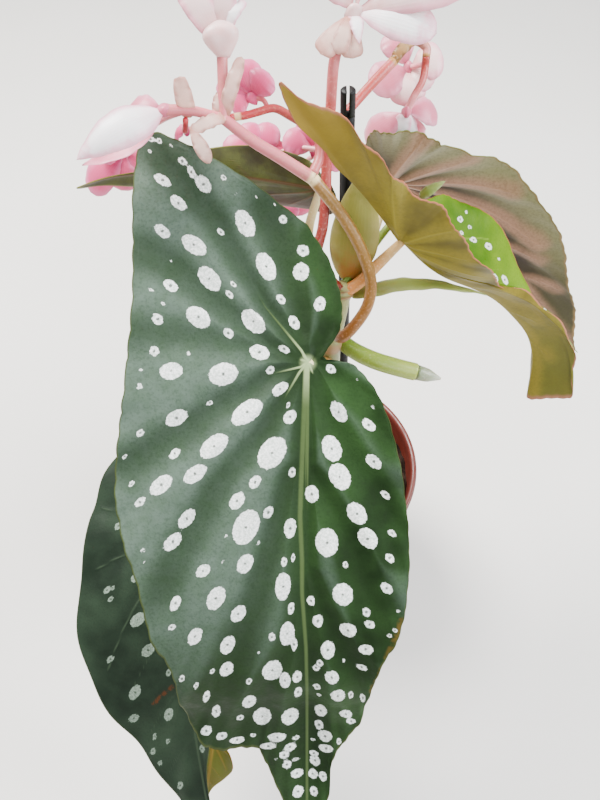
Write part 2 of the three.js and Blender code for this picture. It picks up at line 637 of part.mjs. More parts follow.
function stake(grow = 0) {
  const body = stem([STAKE.foot, STAKE.top], [STAKE.radius, STAKE.radius], { steps: 2, sides: 12, grow });
  if (grow > 0) return body;
  const slot = Manifold.cube([STAKE.slot, 4 * STAKE.radius, STAKE.slotDepth], true);
  return body.subtract(slot.translate(STAKE.top));
}

// ---------------------------------------------------------------- materials
const finish = (color, roughness) => new THREE.MeshStandardMaterial({ color, roughness, metalness: 0 });
const terracotta = finish("#b4452f", 0.5);
const peat = finish("#2b2019", 0.95);
const blackPlastic = finish("#191919", 0.45);
const caneGreen = finish("#6b7142", 0.55);
const spottedLeaf = finish("#3f5c3f", 0.45);
const dullLeaf = finish("#38503a", 0.55);
const youngLeaf = finish("#a8973f", 0.5);
const leafBack = finish("#8a7a66", 0.6);
const redLeaf = finish("#6b4a28", 0.55);
const oldLeaf = finish("#b8753c", 0.6);
const paleGreen = finish("#a9bd70", 0.5);
const leftStalkPink = finish("#d98c6e", 0.45);
const rightStalkPink = finish("#dd7c74", 0.45);
const whiteBud = finish("#dfe3d2", 0.5);

// ---------------------------------------------------------------- assembly
const plant = new THREE.Group();
const add = (name, body, material) => plant.add(meshOf(name, body, material));

const canes = [cane(CANE), cane(SECOND_CANE)];
const fatCanes = Manifold.union([cane(CANE, GAP), cane(SECOND_CANE, GAP)]);
const fatStake = stake(GAP);
const leftStalk = mainBody(stalkSystem(LEFT_STALK, LEFT_BRACTS).subtract(fatCanes));
const rightStalk = mainBody(stalkSystem(RIGHT_STALK, RIGHT_BRACTS).subtract(fatCanes));
const fatStalks = Manifold.union([
  stalkSystem(LEFT_STALK, LEFT_BRACTS, GAP), stalkSystem(RIGHT_STALK, RIGHT_BRACTS, GAP),
]);

add("pot", pot(), terracotta);
add("soil", mainBody(soil().subtract(fatCanes).subtract(fatStake)), peat);
add("stake", stake(), blackPlastic);
add("main_cane", canes[0], caneGreen);
add("second_cane", canes[1], caneGreen);
add("left_flower_stalk", leftStalk, leftStalkPink);
add("right_flower_stalk", rightStalk, rightStalkPink);

const leafMaterials = {
  main_leaf: spottedLeaf, lower_left_leaf: dullLeaf, young_leaf: youngLeaf,
  right_leaf: leafBack, back_left_leaf: redLeaf, old_leaf: oldLeaf,
};
for (const [name, leaf] of Object.entries(LEAVES)) {
  add(name, mainBody(leafSolid(leaf).subtract(fatCanes)), leafMaterials[name]);
}
for (const [name, flower] of Object.entries(FLOWERS)) {
  add(name, mainBody(bloom(flower).subtract(fatStalks)), finish(flower.color, 0.5));
}
const sideShoot = stem(SIDE_SHOOT.route, SIDE_SHOOT.radii, { steps: 8, sides: 10 });
add("side_shoot", mainBody(sideShoot.subtract(fatCanes)), paleGreen);
add("shoot_bud", stem(SHOOT_BUD.route, SHOOT_BUD.radii, { steps: 4, sides: 10 }), whiteBud);
const terminalShoot = stem(TERMINAL_SHOOT.route, TERMINAL_SHOOT.radii);
const fatShoot = stem(TERMINAL_SHOOT.route, TERMINAL_SHOOT.radii, { grow: GAP });
add("terminal_shoot", mainBody(terminalShoot.subtract(fatCanes)), paleGreen);
for (const [name, { base, ...shape }] of Object.entries(STIPULES)) {
  add(name, mainBody(tepal(base, shape).subtract(fatCanes).subtract(fatShoot)), paleGreen);
}

export default plant;
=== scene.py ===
"""Looks of the potted polka dot begonia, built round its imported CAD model.

Lengths are in millimetres in the tables and in metres in the meshes. The origin is the middle of the
pot's base, +Z is up, and the photograph was taken from the -Y side, looking down.
"""
import math

import bpy
import numpy as np
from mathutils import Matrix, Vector


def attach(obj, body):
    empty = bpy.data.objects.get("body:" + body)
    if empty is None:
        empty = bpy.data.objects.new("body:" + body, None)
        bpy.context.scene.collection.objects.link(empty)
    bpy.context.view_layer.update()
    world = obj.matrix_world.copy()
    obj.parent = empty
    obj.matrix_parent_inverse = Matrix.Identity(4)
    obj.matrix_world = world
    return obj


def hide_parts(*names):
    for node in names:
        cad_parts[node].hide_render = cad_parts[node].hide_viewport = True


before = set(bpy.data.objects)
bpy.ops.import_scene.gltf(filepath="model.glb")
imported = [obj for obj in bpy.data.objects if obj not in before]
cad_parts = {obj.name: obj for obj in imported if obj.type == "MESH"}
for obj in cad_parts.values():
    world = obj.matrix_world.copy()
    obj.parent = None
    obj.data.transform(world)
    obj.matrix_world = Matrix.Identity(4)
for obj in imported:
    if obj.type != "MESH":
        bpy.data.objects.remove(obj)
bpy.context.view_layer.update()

MM = 0.001
RANDOM_SEED = 11

# ---------------------------------------------------------------- the photograph's camera
CAMERA_AT = np.array([-6.0, -183.0, 426.0])
CAMERA_PITCH = 55.0               # degrees below the horizon
PHOTO_WIDTH, PHOTO_HEIGHT = 600, 800
FOCAL_PIXELS = 650.0
SENSOR = 36.0                     # mm, along the picture's longer side

# ---------------------------------------------------------------- sizes shared with the CAD source
POT = dict(height=105, rim_radius=60, band_height=13, band_step=2.5, base_radius=43, wall=1.8, lip=3.2,
           floor=2.2)
BAND_FOOT = POT["height"] - POT["band_height"]
SHOULDER = POT["rim_radius"] - POT["band_step"]
SOIL_TOP, SOIL_BUMP = 93.0, 1.6
SOIL_WAVES = [(0.5, 0.21, 0.27), (0.3, 0.55, -0.4), (0.2, 0.6, 0.8)]    # share, and turn per mm of x and y
STAKE = dict(foot=(20.5, 2.6, 30), top=(8, -0.5, 323), radius=2.3, slot=0.9, slot_depth=16)
CREASE = 3.0                      # how far from the midrib a leaf's fold is rounded

# ---------------------------------------------------------------- sizes of this file's own detail
BLADE = 0.55                      # a leaf's thickness here; the CAD solid is a little thicker
GAP = 0.35                        # between the soil and the pot
BAND_EASE = 0.6                   # how much thinner the pot's wall is where its band begins
POT_SIDES, OUTER_RINGS, INNER_RINGS = 160, 16, 14
SOIL_RINGS, SOIL_SIDES = 90, 200
SOIL_LUMPS = [(260, 5.0, 1.1), (900, 2.6, 0.8), (2600, 1.2, 0.45)]      # how many, size and height
SOIL_LIMITS, SOIL_DROP = (-3.5, 3.0), 3.0    # the top's lowest and highest, and its fall at the pot's wall
SOIL_EDGE = 0.93                  # from this share outwards it falls
LUMP_SINK = 0.1                   # how far the soil sinks round each lump
STAKE_RINGS, STAKE_SIDES, PRONG_RINGS, PRONG_ARC = 60, 24, 10, 13
PRONG_EASE, PRONG_TOP = 0.35, 0.86    # how long the stake's rounded end is, and its share of the width there
STEEP = 0.8                       # a direction nearer an axis than this takes another one as its helper
DOME = 0.3                        # how far a stem's end bulges, as a share of its radius
STEM_RINGS, FEWEST_RINGS = 1.2, 8    # rings of points in each mm of a stem, and in the shortest one
JOINT_TIGHTNESS = 60              # how short a cane's swollen joint is beside the cane
RING_REACH = 1.6                  # half the length of the pale ring at a joint
TOOTH_MIDDLE = 0.6                # how high up its teeth a margin's own line runs
RIM_START, RIM_THICKNESS = 0.97, 0.6    # from this share outwards a blade has this share of its thickness
VEIN_STEPS = 8
MIDRIB_END = 0.97                 # as a share of the leaf's length
BRANCH_ANGLE = 46                 # degrees between the midrib and a vein that leaves it
# For veins from the stalk and from the midrib: how far they go as a share of their room, how strong they
# are beside the midrib, and how many degrees they turn towards the tip.
FROM_STALK, FROM_MIDRIB = (0.94, 0.75, 14), (1.05, 0.5, 16)
# Half widths in mm at a vein's start and its end: of its pale line, the big leaf's as a share of the width
# that was read, and of the valley that it lies in.
RULED_VEIN, THINNEST, READ_VEIN = np.array([1.125, 0.375]), 0.15, (1.25, 0.65)
RULED_VALLEY, READ_VALLEY = (2.2, 7.2), (2.0, 7.5)
SPOT_REACH = 4.0                  # how far from a spot its distance is still told
HEART_REACH = 50                  # how far from its stalk a leaf still tells the distance
TRIES = 40                        # for each spot thrown at random
SPOT_BAND, SPOT_ROOM = (0.15, 0.94), 0.75    # where they may fall on the way out, and the room between two
SPOT_WIDE, SPOT_HIGH = (0.85, 1.1), (0.9, 1.25)    # as shares of its size
SPOT_SHRINK = 0.5                 # share of its size that a spot loses at the margin
OUT_OF_VIEW = PHOTO_HEIGHT + 4    # the big leaf's spots are thrown below this pixel
PETAL_PEAK = 0.6                  # how far along a round petal is widest
NARROWEST = 0.16                  # share of its width that a tepal keeps at its foot
THIN_EDGE = 0.3                   # share of its thickness that a tepal keeps at its margin
TEPAL_WAVES = (7, 13)             # half waves along a tepal's margin, the slow and the fast ones
WING = 0.16                       # how far an ovary's wings stand out, as a share of its radius
PEAR, POINTED = (1.25, 1.35, 0.34), (1.5, 1, 0)    # an ovary's half length, how high its belly is, its foot

# ---------------------------------------------------------------- leaves
# An outline goes round from the stalk as shares: across (+ on the wide side) and along (+ to the tip).
OUTLINE = [
    (-0.12, -0.04), (-0.3, -0.14), (-0.33, -0.27), (-0.21, -0.45), (0.04, -0.63), (0.32, -0.8),
    (0.62, -0.95), (0.84, -1), (0.92, -0.82), (0.98, -0.5), (1, -0.15), (1, 0.08), (1.02, 0.2),
    (1, 0.32), (0.92, 0.44), (0.76, 0.56), (0.58, 0.67), (0.42, 0.77), (0.26, 0.86), (0.12, 0.94),
    (0, 1), (-0.08, 0.82), (-0.2, 0.7), (-0.45, 0.59), (-0.7, 0.48), (-0.88, 0.37), (-1, 0.26),
    (-0.95, 0.16), (-0.8, 0.08), (-0.55, 0.01), (-0.3, -0.02),
]
PLAIN_OUTLINE = OUTLINE[::2]
YOUNG_OUTLINE = [
    (-0.06, -0.02), (-0.02, -0.12), (0.1, -0.28), (0.24, -0.45), (0.33, -0.6), (0.42, -0.75),
    (0.5, -0.88), (0.62, -1.03), (0.7, -0.93), (0.82, -0.8), (0.98, -0.7), (0.96, -0.6), (1.05, -0.5),
    (0.97, -0.4), (0.88, -0.3), (1, -0.2), (1.04, -0.1), (1.12, 0), (1.02, 0.1), (1.08, 0.2),
    (0.74, 0.29), (0.5, 0.37), (0.56, 0.44), (0.66, 0.52), (0.76, 0.6), (0.86, 0.68), (0.88, 0.76),
    (0.8, 0.84), (0.86, 0.93), (0.4, 0.97), (0, 0.99), (-0.2, 0.93), (-0.42, 0.82), (-0.62, 0.7),
    (-0.8, 0.56), (-0.94, 0.43), (-1, 0.3), (-0.95, 0.18), (-0.8, 0.08), (-0.55, 0.01),
    (-0.3, -0.02),
]
BIG_OUTLINE = [
    (-0.16, -0.03), (-0.31, -0.14), (-0.33, -0.27), (-0.21, -0.45), (0.04, -0.63), (0.3, -0.79),
    (0.62, -0.94), (0.84, -1), (0.91, -0.88), (0.92, -0.6), (0.91, -0.3), (0.94, 0), (0.98, 0.1),
    (1.01, 0.19), (0.98, 0.27), (0.9, 0.36), (0.85, 0.45), (0.76, 0.52), (0.74, 0.6), (0.7, 0.69),
    (0.63, 0.74), (0.48, 0.755), (0.32, 0.76), (0.25, 0.8), (0.16, 0.87), (0.07, 0.94), (0, 1),
    (-0.14, 0.94), (-0.27, 0.87), (-0.3, 0.79), (-0.44, 0.74), (-0.62, 0.69), (-0.68, 0.6),
    (-0.76, 0.52), (-0.93, 0.45), (-1, 0.38), (-1.02, 0.3), (-0.97, 0.22), (-0.88, 0.14),
    (-0.72, 0.06), (-0.5, 0.01), (-0.3, -0.01),
]
# side_veins: bearings from the midrib of the veins that leave the stalk, + on the wide side, and
# branches: how far along the midrib its own side veins leave it.
LEAVES = dict(
    main_leaf=dict(
        at=(-3.5, -56, 265), to_tip=(0, -0.82, -0.57), to_wide=(-1, 0, 0), outline=BIG_OUTLINE,
        length=200, ear=73, wide=60, narrow=32, fold=(4, 4), ruffle=(0.8, 9),
        bend=[(-120, -12), (-40, -4), (0, 0), (60, 8), (105, 22), (124, 46), (145, 22), (175, 10)],
        stalk=[(5, -20, 224), (2, -36, 233), (-2, -49, 250), (-3.5, -56, 264.6)],
        stalk_radii=(2.8, 2.4, 2.3, 1.8), spokes=14, rings=170, puff=2.1, teeth=(0.5, 104),
        frill=(0.4, 45)),
    lower_left_leaf=dict(
        at=(-52, -70, 166), to_tip=(-0.13, -0.96, -0.26), to_wide=(-0.9, 0.22, -0.37), outline=OUTLINE,
        length=137, ear=38, wide=48, narrow=28, fold=(15, 15), ruffle=(1.2, 7),
        bend=[(-80, -6), (0, 0), (60, 29), (130, 36)],
        stalk=[(-28, -42, 134), (-36, -52, 146), (-46, -64, 158), (-52, -70, 165.6)],
        stalk_radii=(2.2, 2, 2, 1.6), spokes=10, rings=110,
        side_veins=(38, 72, 104, 140, -36, -70), branches=(0.25, 0.45, 0.64), puff=1.4,
        frill=(0.9, 15)),
    young_leaf=dict(
        at=(29, -10, 274.4), to_tip=(0.66, 0, -0.75), to_wide=(0.37, -0.87, 0.33), outline=YOUNG_OUTLINE,
        length=119, ear=69, wide=22, narrow=34, fold=(36, 50), ruffle=(1.6, 6),
        bend=[(-80, -6), (0, 0), (35, -19), (70, 0), (110, 44)],
        stalk=[(9, -15, 254), (15, -14, 258), (22, -12, 266), (29, -10, 273.9)],
        stalk_radii=(2.4, 2.2, 2, 1.5), stalk_tone=0.3, spokes=14, rings=60,
        side_veins=(30, 60, 100, 150, -34, -70), branches=(0.3, 0.52, 0.72), puff=1.0, teeth=(0.45, 110),
        frill=(0.9, 19)),
    right_leaf=dict(
        at=(30, 44, 258), to_tip=(0.89, 0.19, -0.41), to_wide=(0.44, -0.58, 0.68), outline=OUTLINE,
        length=136, ear=26, wide=37, narrow=21, fold=(12, 12), ruffle=(1.2, 11),
        bend=[(-80, -8), (0, 0), (60, 28), (130, 38)],
        stalk=[(9, -14, 252), (17, 2, 251), (25, 26, 252), (30, 44, 257.5)],
        stalk_radii=(2.3, 2, 2, 1.5), spokes=12, rings=60,
        side_veins=(24, 46, 74, 110, -30, -62), branches=(0.22, 0.4, 0.58), puff=2.2, teeth=(0.8, 84),
        frill=(0.3, 41)),
    back_left_leaf=dict(
        at=(1, 12, 279), to_tip=(-0.98, 0, 0.25), to_wide=(-0.05, 0.15, -0.98), outline=PLAIN_OUTLINE,
        length=84, ear=10, wide=18, narrow=12, fold=(20, 35), ruffle=(0.8, 7),
        bend=[(-60, -6), (0, 0), (45, 12), (62, 22), (84, 44)],
        stalk=[(6, -20, 236), (1, -8, 247), (-3, 4, 264), (1, 12, 278.6)],
        stalk_radii=(2, 1.8, 1.8, 1.4), spokes=12, rings=36,
        side_veins=(34, 70, -34, -70), branches=(0.3, 0.55), puff=0.5),
    old_leaf=dict(
        at=(-46, -141, 90), to_tip=(-0.15, -0.6, -0.78), to_wide=(-1, 0.1, 0.1), outline=PLAIN_OUTLINE,
        length=44, ear=8, wide=15, narrow=11, fold=(12, 12), ruffle=(1, 5),
        bend=[(-20, 0), (0, 0), (44, 20)],
        stalk=[(-22, -34, 119), (-31, -72, 124), (-41, -118, 112), (-46, -141, 89.8)],
        stalk_radii=(1.2, 1.1, 1, 0.9), spokes=10, rings=24,
        side_veins=(36, 72, -36, -72), branches=(0.3, 0.55), puff=0.4),
)

# ---------------------------------------------------------------- flowers and stems
WHITE, BLUSH, PINK, HOT = "white", "blush", "pink", "hot"
PALE = "pale_tepal"
FORWARD = (0, -0.57, 0.82)        # the way a tepal's bulging side looks unless it says otherwise


def tepal(tip, width, tint=HOT, **shape):
    return tint, dict(tip=tip, width=width, **shape)


FLOWERS = dict(
    left_flower_boat=dict(slot=PALE, base=(-46, -3, 318), ovary=1.9, ovary_tint=PINK, tepals=[
        tepal((-70, -20, 313), 12, WHITE, form="boat", cup=0.2),
        tepal((-70, -17, 309), 8, PINK, face=(0, 0.3, -0.95), form="boat"),
        tepal((-58, 2, 315), 9, PINK, face=(0, -0.4, 0.9))]),
    left_flower_low=dict(base=(-68, 21, 288), ovary=1.6, tepals=[
        tepal((-82, 14, 276), 12), tepal((-71, 15, 276), 12),
        tepal((-60, 20, 281), 10), tepal((-77, 18, 290), 10)]),
    left_flower_bud=dict(base=(-41.5, 3, 307.5), ovary=1.5, tepals=[
        tepal((-46, 7, 304), 5.5, bow=0.02), tepal((-41, 8.5, 303), 5.5, bow=0.02)]),
    left_flower_top=dict(slot=PALE, base=(-29, 13, 330.5), ovary=4.4, pear=True, tepals=[
        tepal((-40, 21, 342), 9, BLUSH, form="strap", cup=0.08),
        tepal((-27.5, 25, 344), 8, BLUSH, form="strap", cup=0.1),
        tepal((-35, 30, 342), 9, BLUSH, face=(0, 0.6, 0.8)),
        tepal((-22, 20, 338), 3.6, WHITE, form="strap", bow=0.2)]),
    left_flower_arc=dict(base=(-21, 12, 313), ovary=1.7, tepals=[
        tepal((-24, 20, 321), 10), tepal((-15.5, 14, 320), 10),
        tepal((-28, 11, 311), 9), tepal((-32, 18, 315), 9)]),
    back_flower_left=dict(base=(-19, 18, 286), ovary=1.7, tepals=[
        tepal((-33, 22, 291), 10), tepal((-26, 27, 295), 10),
        tepal((-17, 28, 295), 10), tepal((-11, 23, 289), 9)]),
    back_flower_right=dict(base=(-1, 20, 289), ovary=1.7, tepals=[
        tepal((-12, 22, 293), 10), tepal((-3, 28, 297), 11),
        tepal((8, 26, 295), 10), tepal((10, 19, 284), 9)]),
    back_flower_low=dict(base=(-7, 30, 263), ovary=1.6, tepals=[
        tepal((-12, 27, 255), 9), tepal((-5, 27, 255), 9),
        tepal((-14, 33, 262), 8)]),
    right_flower_top=dict(slot=PALE, base=(11, 33, 329), ovary=2.3, ovary_tint=BLUSH, tepals=[
        tepal((36, 24, 327), 14, WHITE, cup=0.12),
        tepal((46, 32, 338), 14, BLUSH), tepal((2, 42, 336), 10, BLUSH),
        tepal((22, 46, 341), 13, BLUSH, face=(0, 0.6, 0.8)),
        tepal((12.3, 22.5, 324.5), 4.5, WHITE, form="leaf")]),
    right_flower_middle=dict(slot=PALE, base=(34, 55, 300), ovary=2, tepals=[
        tepal((20, 47, 296), 14, PINK), tepal((27, 65, 308), 13, PINK),
        tepal((46.5, 55, 303), 14, BLUSH), tepal((33, 44, 291), 14, BLUSH),
        tepal((42, 48, 296), 10, BLUSH)]),
    right_flower_low=dict(slot=PALE, base=(32, 34, 295), ovary=1.8, tepals=[
        tepal((19, 38, 280), 12, PINK), tepal((44.5, 41, 290), 11, PINK),
        tepal((36, 39, 276), 13, PINK),
        tepal((29, 33, 282), 7, WHITE, form="strap"),
        tepal((35, 34, 283), 6, WHITE, form="strap")]),
)

# A cane's route, its radii and the shares along it where its swollen joints are.
CANES = dict(
    main_cane=([(8, 2, 40), (8, -2, 98), (8, -8, 150), (7, -16, 200), (6, -21, 235), (9, -15, 254),
                (9, -14.2, 258)], (4.6, 4.6, 4.4, 4.1, 3.9, 3.6, 2.2), (0.36, 0.49, 0.66, 0.84, 0.93)),
    second_cane=([(-12, -18, 50), (-15, -25, 98), (-21, -34, 118), (-28, -43, 136)], (3.6, 3.5, 3.2, 2.8),
                 (0.76, 0.97)),
)
# tone runs from a stem's lower colour through its middle one to its upper one, hue adds its other one,
# and ring_at is the share along it where its pale joint is.
LEFT_STALK = [
    dict(route=[(6, -19, 242), (9, -30, 247), (17, -26, 257), (18.5, -22, 265), (15, -18, 276), (8, -13, 287),
                (-2, -8, 298)], radii=(2.2, 2, 2), tone=(0, 0.55), ring_at=1),
    dict(route=[(-2, -8, 298), (-12, -6, 304), (-21, -4, 309), (-29, -1, 314)], radii=(2, 1.7), tone=(0.8, 1),
         ring_at=0),
    dict(route=[(-29, -1, 314), (-29, 3, 319), (-29, 9, 325.6), (-29, 11, 328)], radii=(1.5, 1.7),
         tone=(0.9, 0.8)),
    dict(route=[(-29, -1, 314), (-37, -2, 317), (-42, -2.5, 317.8), (-45.5, -3, 318)], radii=(1.4, 1.6),
         tone=(0.9, 0.9)),
    dict(route=[(-2, -7, 299), (0, -2, 301), (0, 2, 304), (-3, 5, 307), (-9, 7, 310), (-14, 8, 312),
                (-19, 6, 312), (-23, 4, 312), (-27, 3, 312), (-29, 0, 313.5)], radii=(1.6, 1.3, 1.1),
         tone=(0.8, 0.6), hue=(0.4, 1), ring_at=0.84),
    dict(route=[(-16, 8, 312), (-17.5, 10.5, 313.3), (-20.5, 12, 313)], radii=(0.8, 0.8), tone=(1, 1),
         hue=(0.6, 0.2)),
    dict(route=[(-41, -2, 317), (-49, 7, 309), (-61, 18, 296), (-66.5, 20.5, 290), (-68, 21, 288.4)],
         radii=(1, 0.8), tone=(1, 1), hue=(0.3, 0.3)),
    dict(route=[(-40, -4, 315.5), (-41, -1, 311), (-41.7, 1, 308.8), (-41.5, 2.8, 307.6)], radii=(0.9, 0.9),
         tone=(1, 1), hue=(0.9, 0.7)),
]


def bract(base, tip, width, form="strap", ripple=0.4):
    return dict(base=base, tip=tip, width=width, form=form, ripple=ripple)


LEFT_BRACTS = [
    bract((-29, -1, 314), (-23, 8, 328), 4.4),
    bract((-28.5, -1.5, 315), (-38.5, -8, 314), 4.2),
    bract((-38.5, -7, 315), (-33, -13, 307), 4.4, "petal"),
    bract((-39.2, -2, 315), (-40.5, -1, 327), 5.4),
    bract((-31, -1, 314.6), (-30, 4, 319.5), 3.6),
]
RIGHT_STALK = [
    dict(route=[(8, -17, 258), (0, -11, 266), (2, -3, 275), (3, 6, 285), (3, 12, 294), (4, 18, 305),
                (5, 24, 319), (7, 28, 323), (9.5, 31, 326.4), (10.8, 32.6, 328.5)],
         radii=(1.9, 1.8, 1.8, 1.5), tone=(0, 1), ring_at=0.52),
    dict(route=[(4, 15, 297), (9, 22, 301), (13, 27, 303), (20, 34, 307), (26, 40, 310)], radii=(1.6, 1.7),
         tone=(0.3, 0.6), ring_at=1),
    dict(route=[(26, 40, 310), (30, 45, 312), (34, 48, 313), (38, 47, 311), (38, 45, 309)], radii=(1.7, 1.4),
         tone=(0.8, 0.8), hue=(1, 0.4), ring_at=1),
    dict(route=[(38, 45, 309), (38, 44, 306), (37, 40, 303), (34, 36, 299.5), (32.3, 34.3, 296)],
         radii=(1.4, 1.2), tone=(0.35, 0.8)),
    dict(route=[(38, 44, 307), (37, 49, 304), (35.6, 52.6, 301.6), (34.2, 54.7, 300.2)], radii=(0.9, 0.9),
         tone=(0.7, 0.9)),
    dict(route=[(3, 12, 294), (1, 16, 292), (-1, 20, 289.2)], radii=(0.9, 0.9), tone=(0.8, 0.8)),
    dict(route=[(1, 16, 292), (-8, 20, 290), (-16.5, 18.5, 287.3), (-18.8, 18.1, 286.2)], radii=(0.9, 0.9),
         tone=(0.8, 0.8)),
    dict(route=[(1, 16, 292), (0, 24, 285), (-5, 31, 275), (-7, 31, 264.5), (-7, 30.1, 263.2)],
         radii=(0.9, 0.9), tone=(0.8, 0.8)),
]
RIGHT_BRACTS = [
    bract((9.5, 31, 328), (0.5, 22, 321.5), 8.5, "fan", 0.12),
    bract((9.5, 31, 328), (10.5, 21.5, 320.5), 8, "fan", 0.12),
    bract((9.5, 30.2, 328.4), (5.5, 21.4, 322), 7, "fan", 0.12),
]
DRY_BRACTS = [bract((26, 40, 311), (33.5, 47, 314.5), 4.2)]
SHOOTS = dict(
    side_shoot=dict(route=[(9, -19, 233), (15, -25, 233), (22, -29, 232.5), (30, -31, 231), (38, -32, 229)],
                    radii=(3, 3.3, 3.4, 3.4)),
    terminal_shoot=dict(route=[(10, -12, 255.5), (14, -7.5, 258.5), (18, -4, 262), (25, 8, 262),
                               (33, 16.5, 266), (38.3, 18, 270)], radii=(1.6, 1.6, 1.2)),
    shoot_bud=dict(route=[(38.5, -32, 228.8), (43, -32.5, 227.5), (48, -33, 226)], radii=(3, 2.6, 0.5)),
)
STIPULES = dict(
    narrow_stipule=dict(base=(13, -12, 250), tip=(62, -16, 254), width=9.6, cup=0.12, face=(0, 0.2, 0.98),
                        blunt=0.45),
    broad_stipule=dict(base=(12, -10.4, 255), tip=(14, -4, 298), width=17, cup=0.08, bow=0.02, blunt=0.8),
    terminal_bud=dict(base=(38.7, 18.4, 270.6), tip=(47.5, 20.3, 276.2), width=4, cup=0.3),
)

# ---------------------------------------------------------------- spots and veins
# Spots read on the photograph, in pixels: across, down, width, height.
LEAF_HEART = (308, 362)           # where the big leaf's veins meet, in pixels
TIP_TOP = 560                     # below this pixel the spots crowd, and their read sizes take in their gaps
TIP_TRIM = 0.86
MAIN_SPOTS = [
    (150, 138, 10, 6), (159, 140, 6, 6), (171, 145, 4, 4), (149, 150, 4, 4), (182, 160, 9, 8),
    (191, 171, 8, 12), (203, 183, 16, 17), (162, 179, 16, 13), (178, 202, 16, 16), (224, 178, 6, 6),
    (245, 223, 20, 27), (162, 231, 16, 14), (194, 245, 25, 21), (266, 266, 20, 28), (209, 278, 24, 24),
    (303, 250, 12, 12), (301, 271, 16, 18), (170, 285, 15, 13), (150, 290, 7, 4), (198, 317, 24, 22),
    (253, 321, 24, 24), (281, 299, 9, 10), (320, 304, 12, 15), (294, 322, 11, 14), (157, 319, 12, 11),
    (228, 333, 11, 10), (259, 352, 20, 15), (284, 349, 11, 8), (154, 351, 10, 10), (188, 353, 4, 4),
    (171, 371, 24, 17), (223, 374, 29, 23), (280, 389, 16, 14), (229, 294, 8, 8), (233, 284, 6, 6),
    (220, 230, 7, 7), (283, 219, 8, 8), (270, 370, 8, 8), (331, 369, 10, 9), (141, 369, 4, 4),
    (140, 386, 8, 6), (247, 412, 31, 26), (176, 418, 22, 17), (290, 417, 13, 14), (288, 405, 4, 6),
    (214, 446, 28, 25), (272, 453, 29, 32), (195, 474, 23, 20), (161, 485, 23, 20), (174, 454, 11, 11),
    (255, 482, 12, 13), (237, 501, 16, 17), (246, 527, 27, 35), (268, 513, 10, 12), (290, 529, 12, 20),
    (186, 520, 17, 19), (172, 543, 18, 18), (140, 433, 8, 8), (124, 457, 5, 5), (131, 484, 6, 6),
    (140, 502, 11, 10), (209, 403, 6, 5), (292, 473, 7, 11), (339, 412, 17, 21), (369, 425, 14, 13),
    (332, 449, 20, 26), (374, 462, 16, 15), (340, 477, 22, 26), (312, 495, 14, 17), (386, 496, 9, 9),
    (357, 514, 20, 22), (368, 539, 20, 21), (327, 543, 23, 28), (393, 535, 9, 7), (390, 559, 9, 9),
    (346, 566, 6, 8), (373, 407, 4, 4), (245, 564, 19, 23), (203, 571, 17, 15), (216, 598, 22, 27),
    (175, 604, 13, 17), (238, 616, 18, 20), (172, 627, 9, 8), (195, 636, 17, 20), (227, 648, 17, 22),
    (226, 673, 16, 17), (283, 587, 18, 32), (291, 610, 8, 14), (287, 636, 17, 29), (294, 647, 8, 14),
    (272, 637, 8, 10), (284, 562, 7, 10), (293, 559, 4, 8), (272, 673, 23, 24), (285, 682, 13, 17),
    (297, 680, 11, 14), (298, 696, 9, 12), (249, 704, 16, 14), (262, 718, 21, 18), (290, 718, 20, 18),
    (206, 700, 8, 14), (216, 714, 10, 12), (206, 732, 13, 11), (222, 736, 13, 9), (237, 741, 17, 8),
    (253, 736, 8, 4), (277, 737, 22, 10), (268, 746, 20, 7), (296, 740, 9, 5), (290, 748, 14, 9),
    (284, 755, 12, 8), (296, 761, 10, 4), (287, 765, 11, 9), (297, 775, 16, 10), (298, 793, 13, 14),
    (276, 759, 4, 3), (240, 719, 8, 6), (249, 682, 7, 7), (212, 673, 6, 7), (196, 686, 6, 8),
    (182, 678, 7, 9), (343, 595, 24, 26), (387, 589, 14, 13), (311, 603, 9, 12), (318, 623, 12, 14),
    (348, 631, 20, 17), (367, 615, 10, 10), (370, 627, 12, 9), (366, 651, 18, 11), (328, 652, 17, 20),
    (332, 678, 16, 15), (338, 696, 17, 13), (320, 665, 8, 8), (316, 671, 8, 7), (317, 690, 8, 7),
    (319, 698, 5, 3), (321, 713, 14, 13), (346, 714, 15, 9), (351, 721, 11, 7), (319, 727, 10, 11),
    (325, 737, 16, 13), (326, 749, 17, 9), (339, 742, 6, 7), (313, 743, 7, 3), (314, 756, 11, 6),
    (315, 763, 12, 11), (313, 776, 11, 11), (323, 777, 9, 11), (314, 793, 9, 11), (362, 670, 13, 7),
    (363, 700, 6, 8), (351, 697, 6, 8), (390, 637, 7, 4), (395, 631, 6, 6), (398, 611, 5, 3),
    (163, 304, 4, 4), (170, 259, 3, 3), (236, 194, 3, 3), (256, 196, 3, 3), (275, 204, 3, 3),
    (143, 209, 3, 3), (357, 379, 2, 2), (143, 550, 5, 5), (144, 563, 3, 3), (226, 536, 3, 3),
    (258, 544, 4, 4), (223, 561, 4, 4), (344, 664, 3, 3), (259, 653, 3, 3),
]
MAIN_SPOTS = [(u, v, w * TIP_TRIM, h * TIP_TRIM) if v > TIP_TOP else (u, v, w, h)
              for u, v, w, h in MAIN_SPOTS]
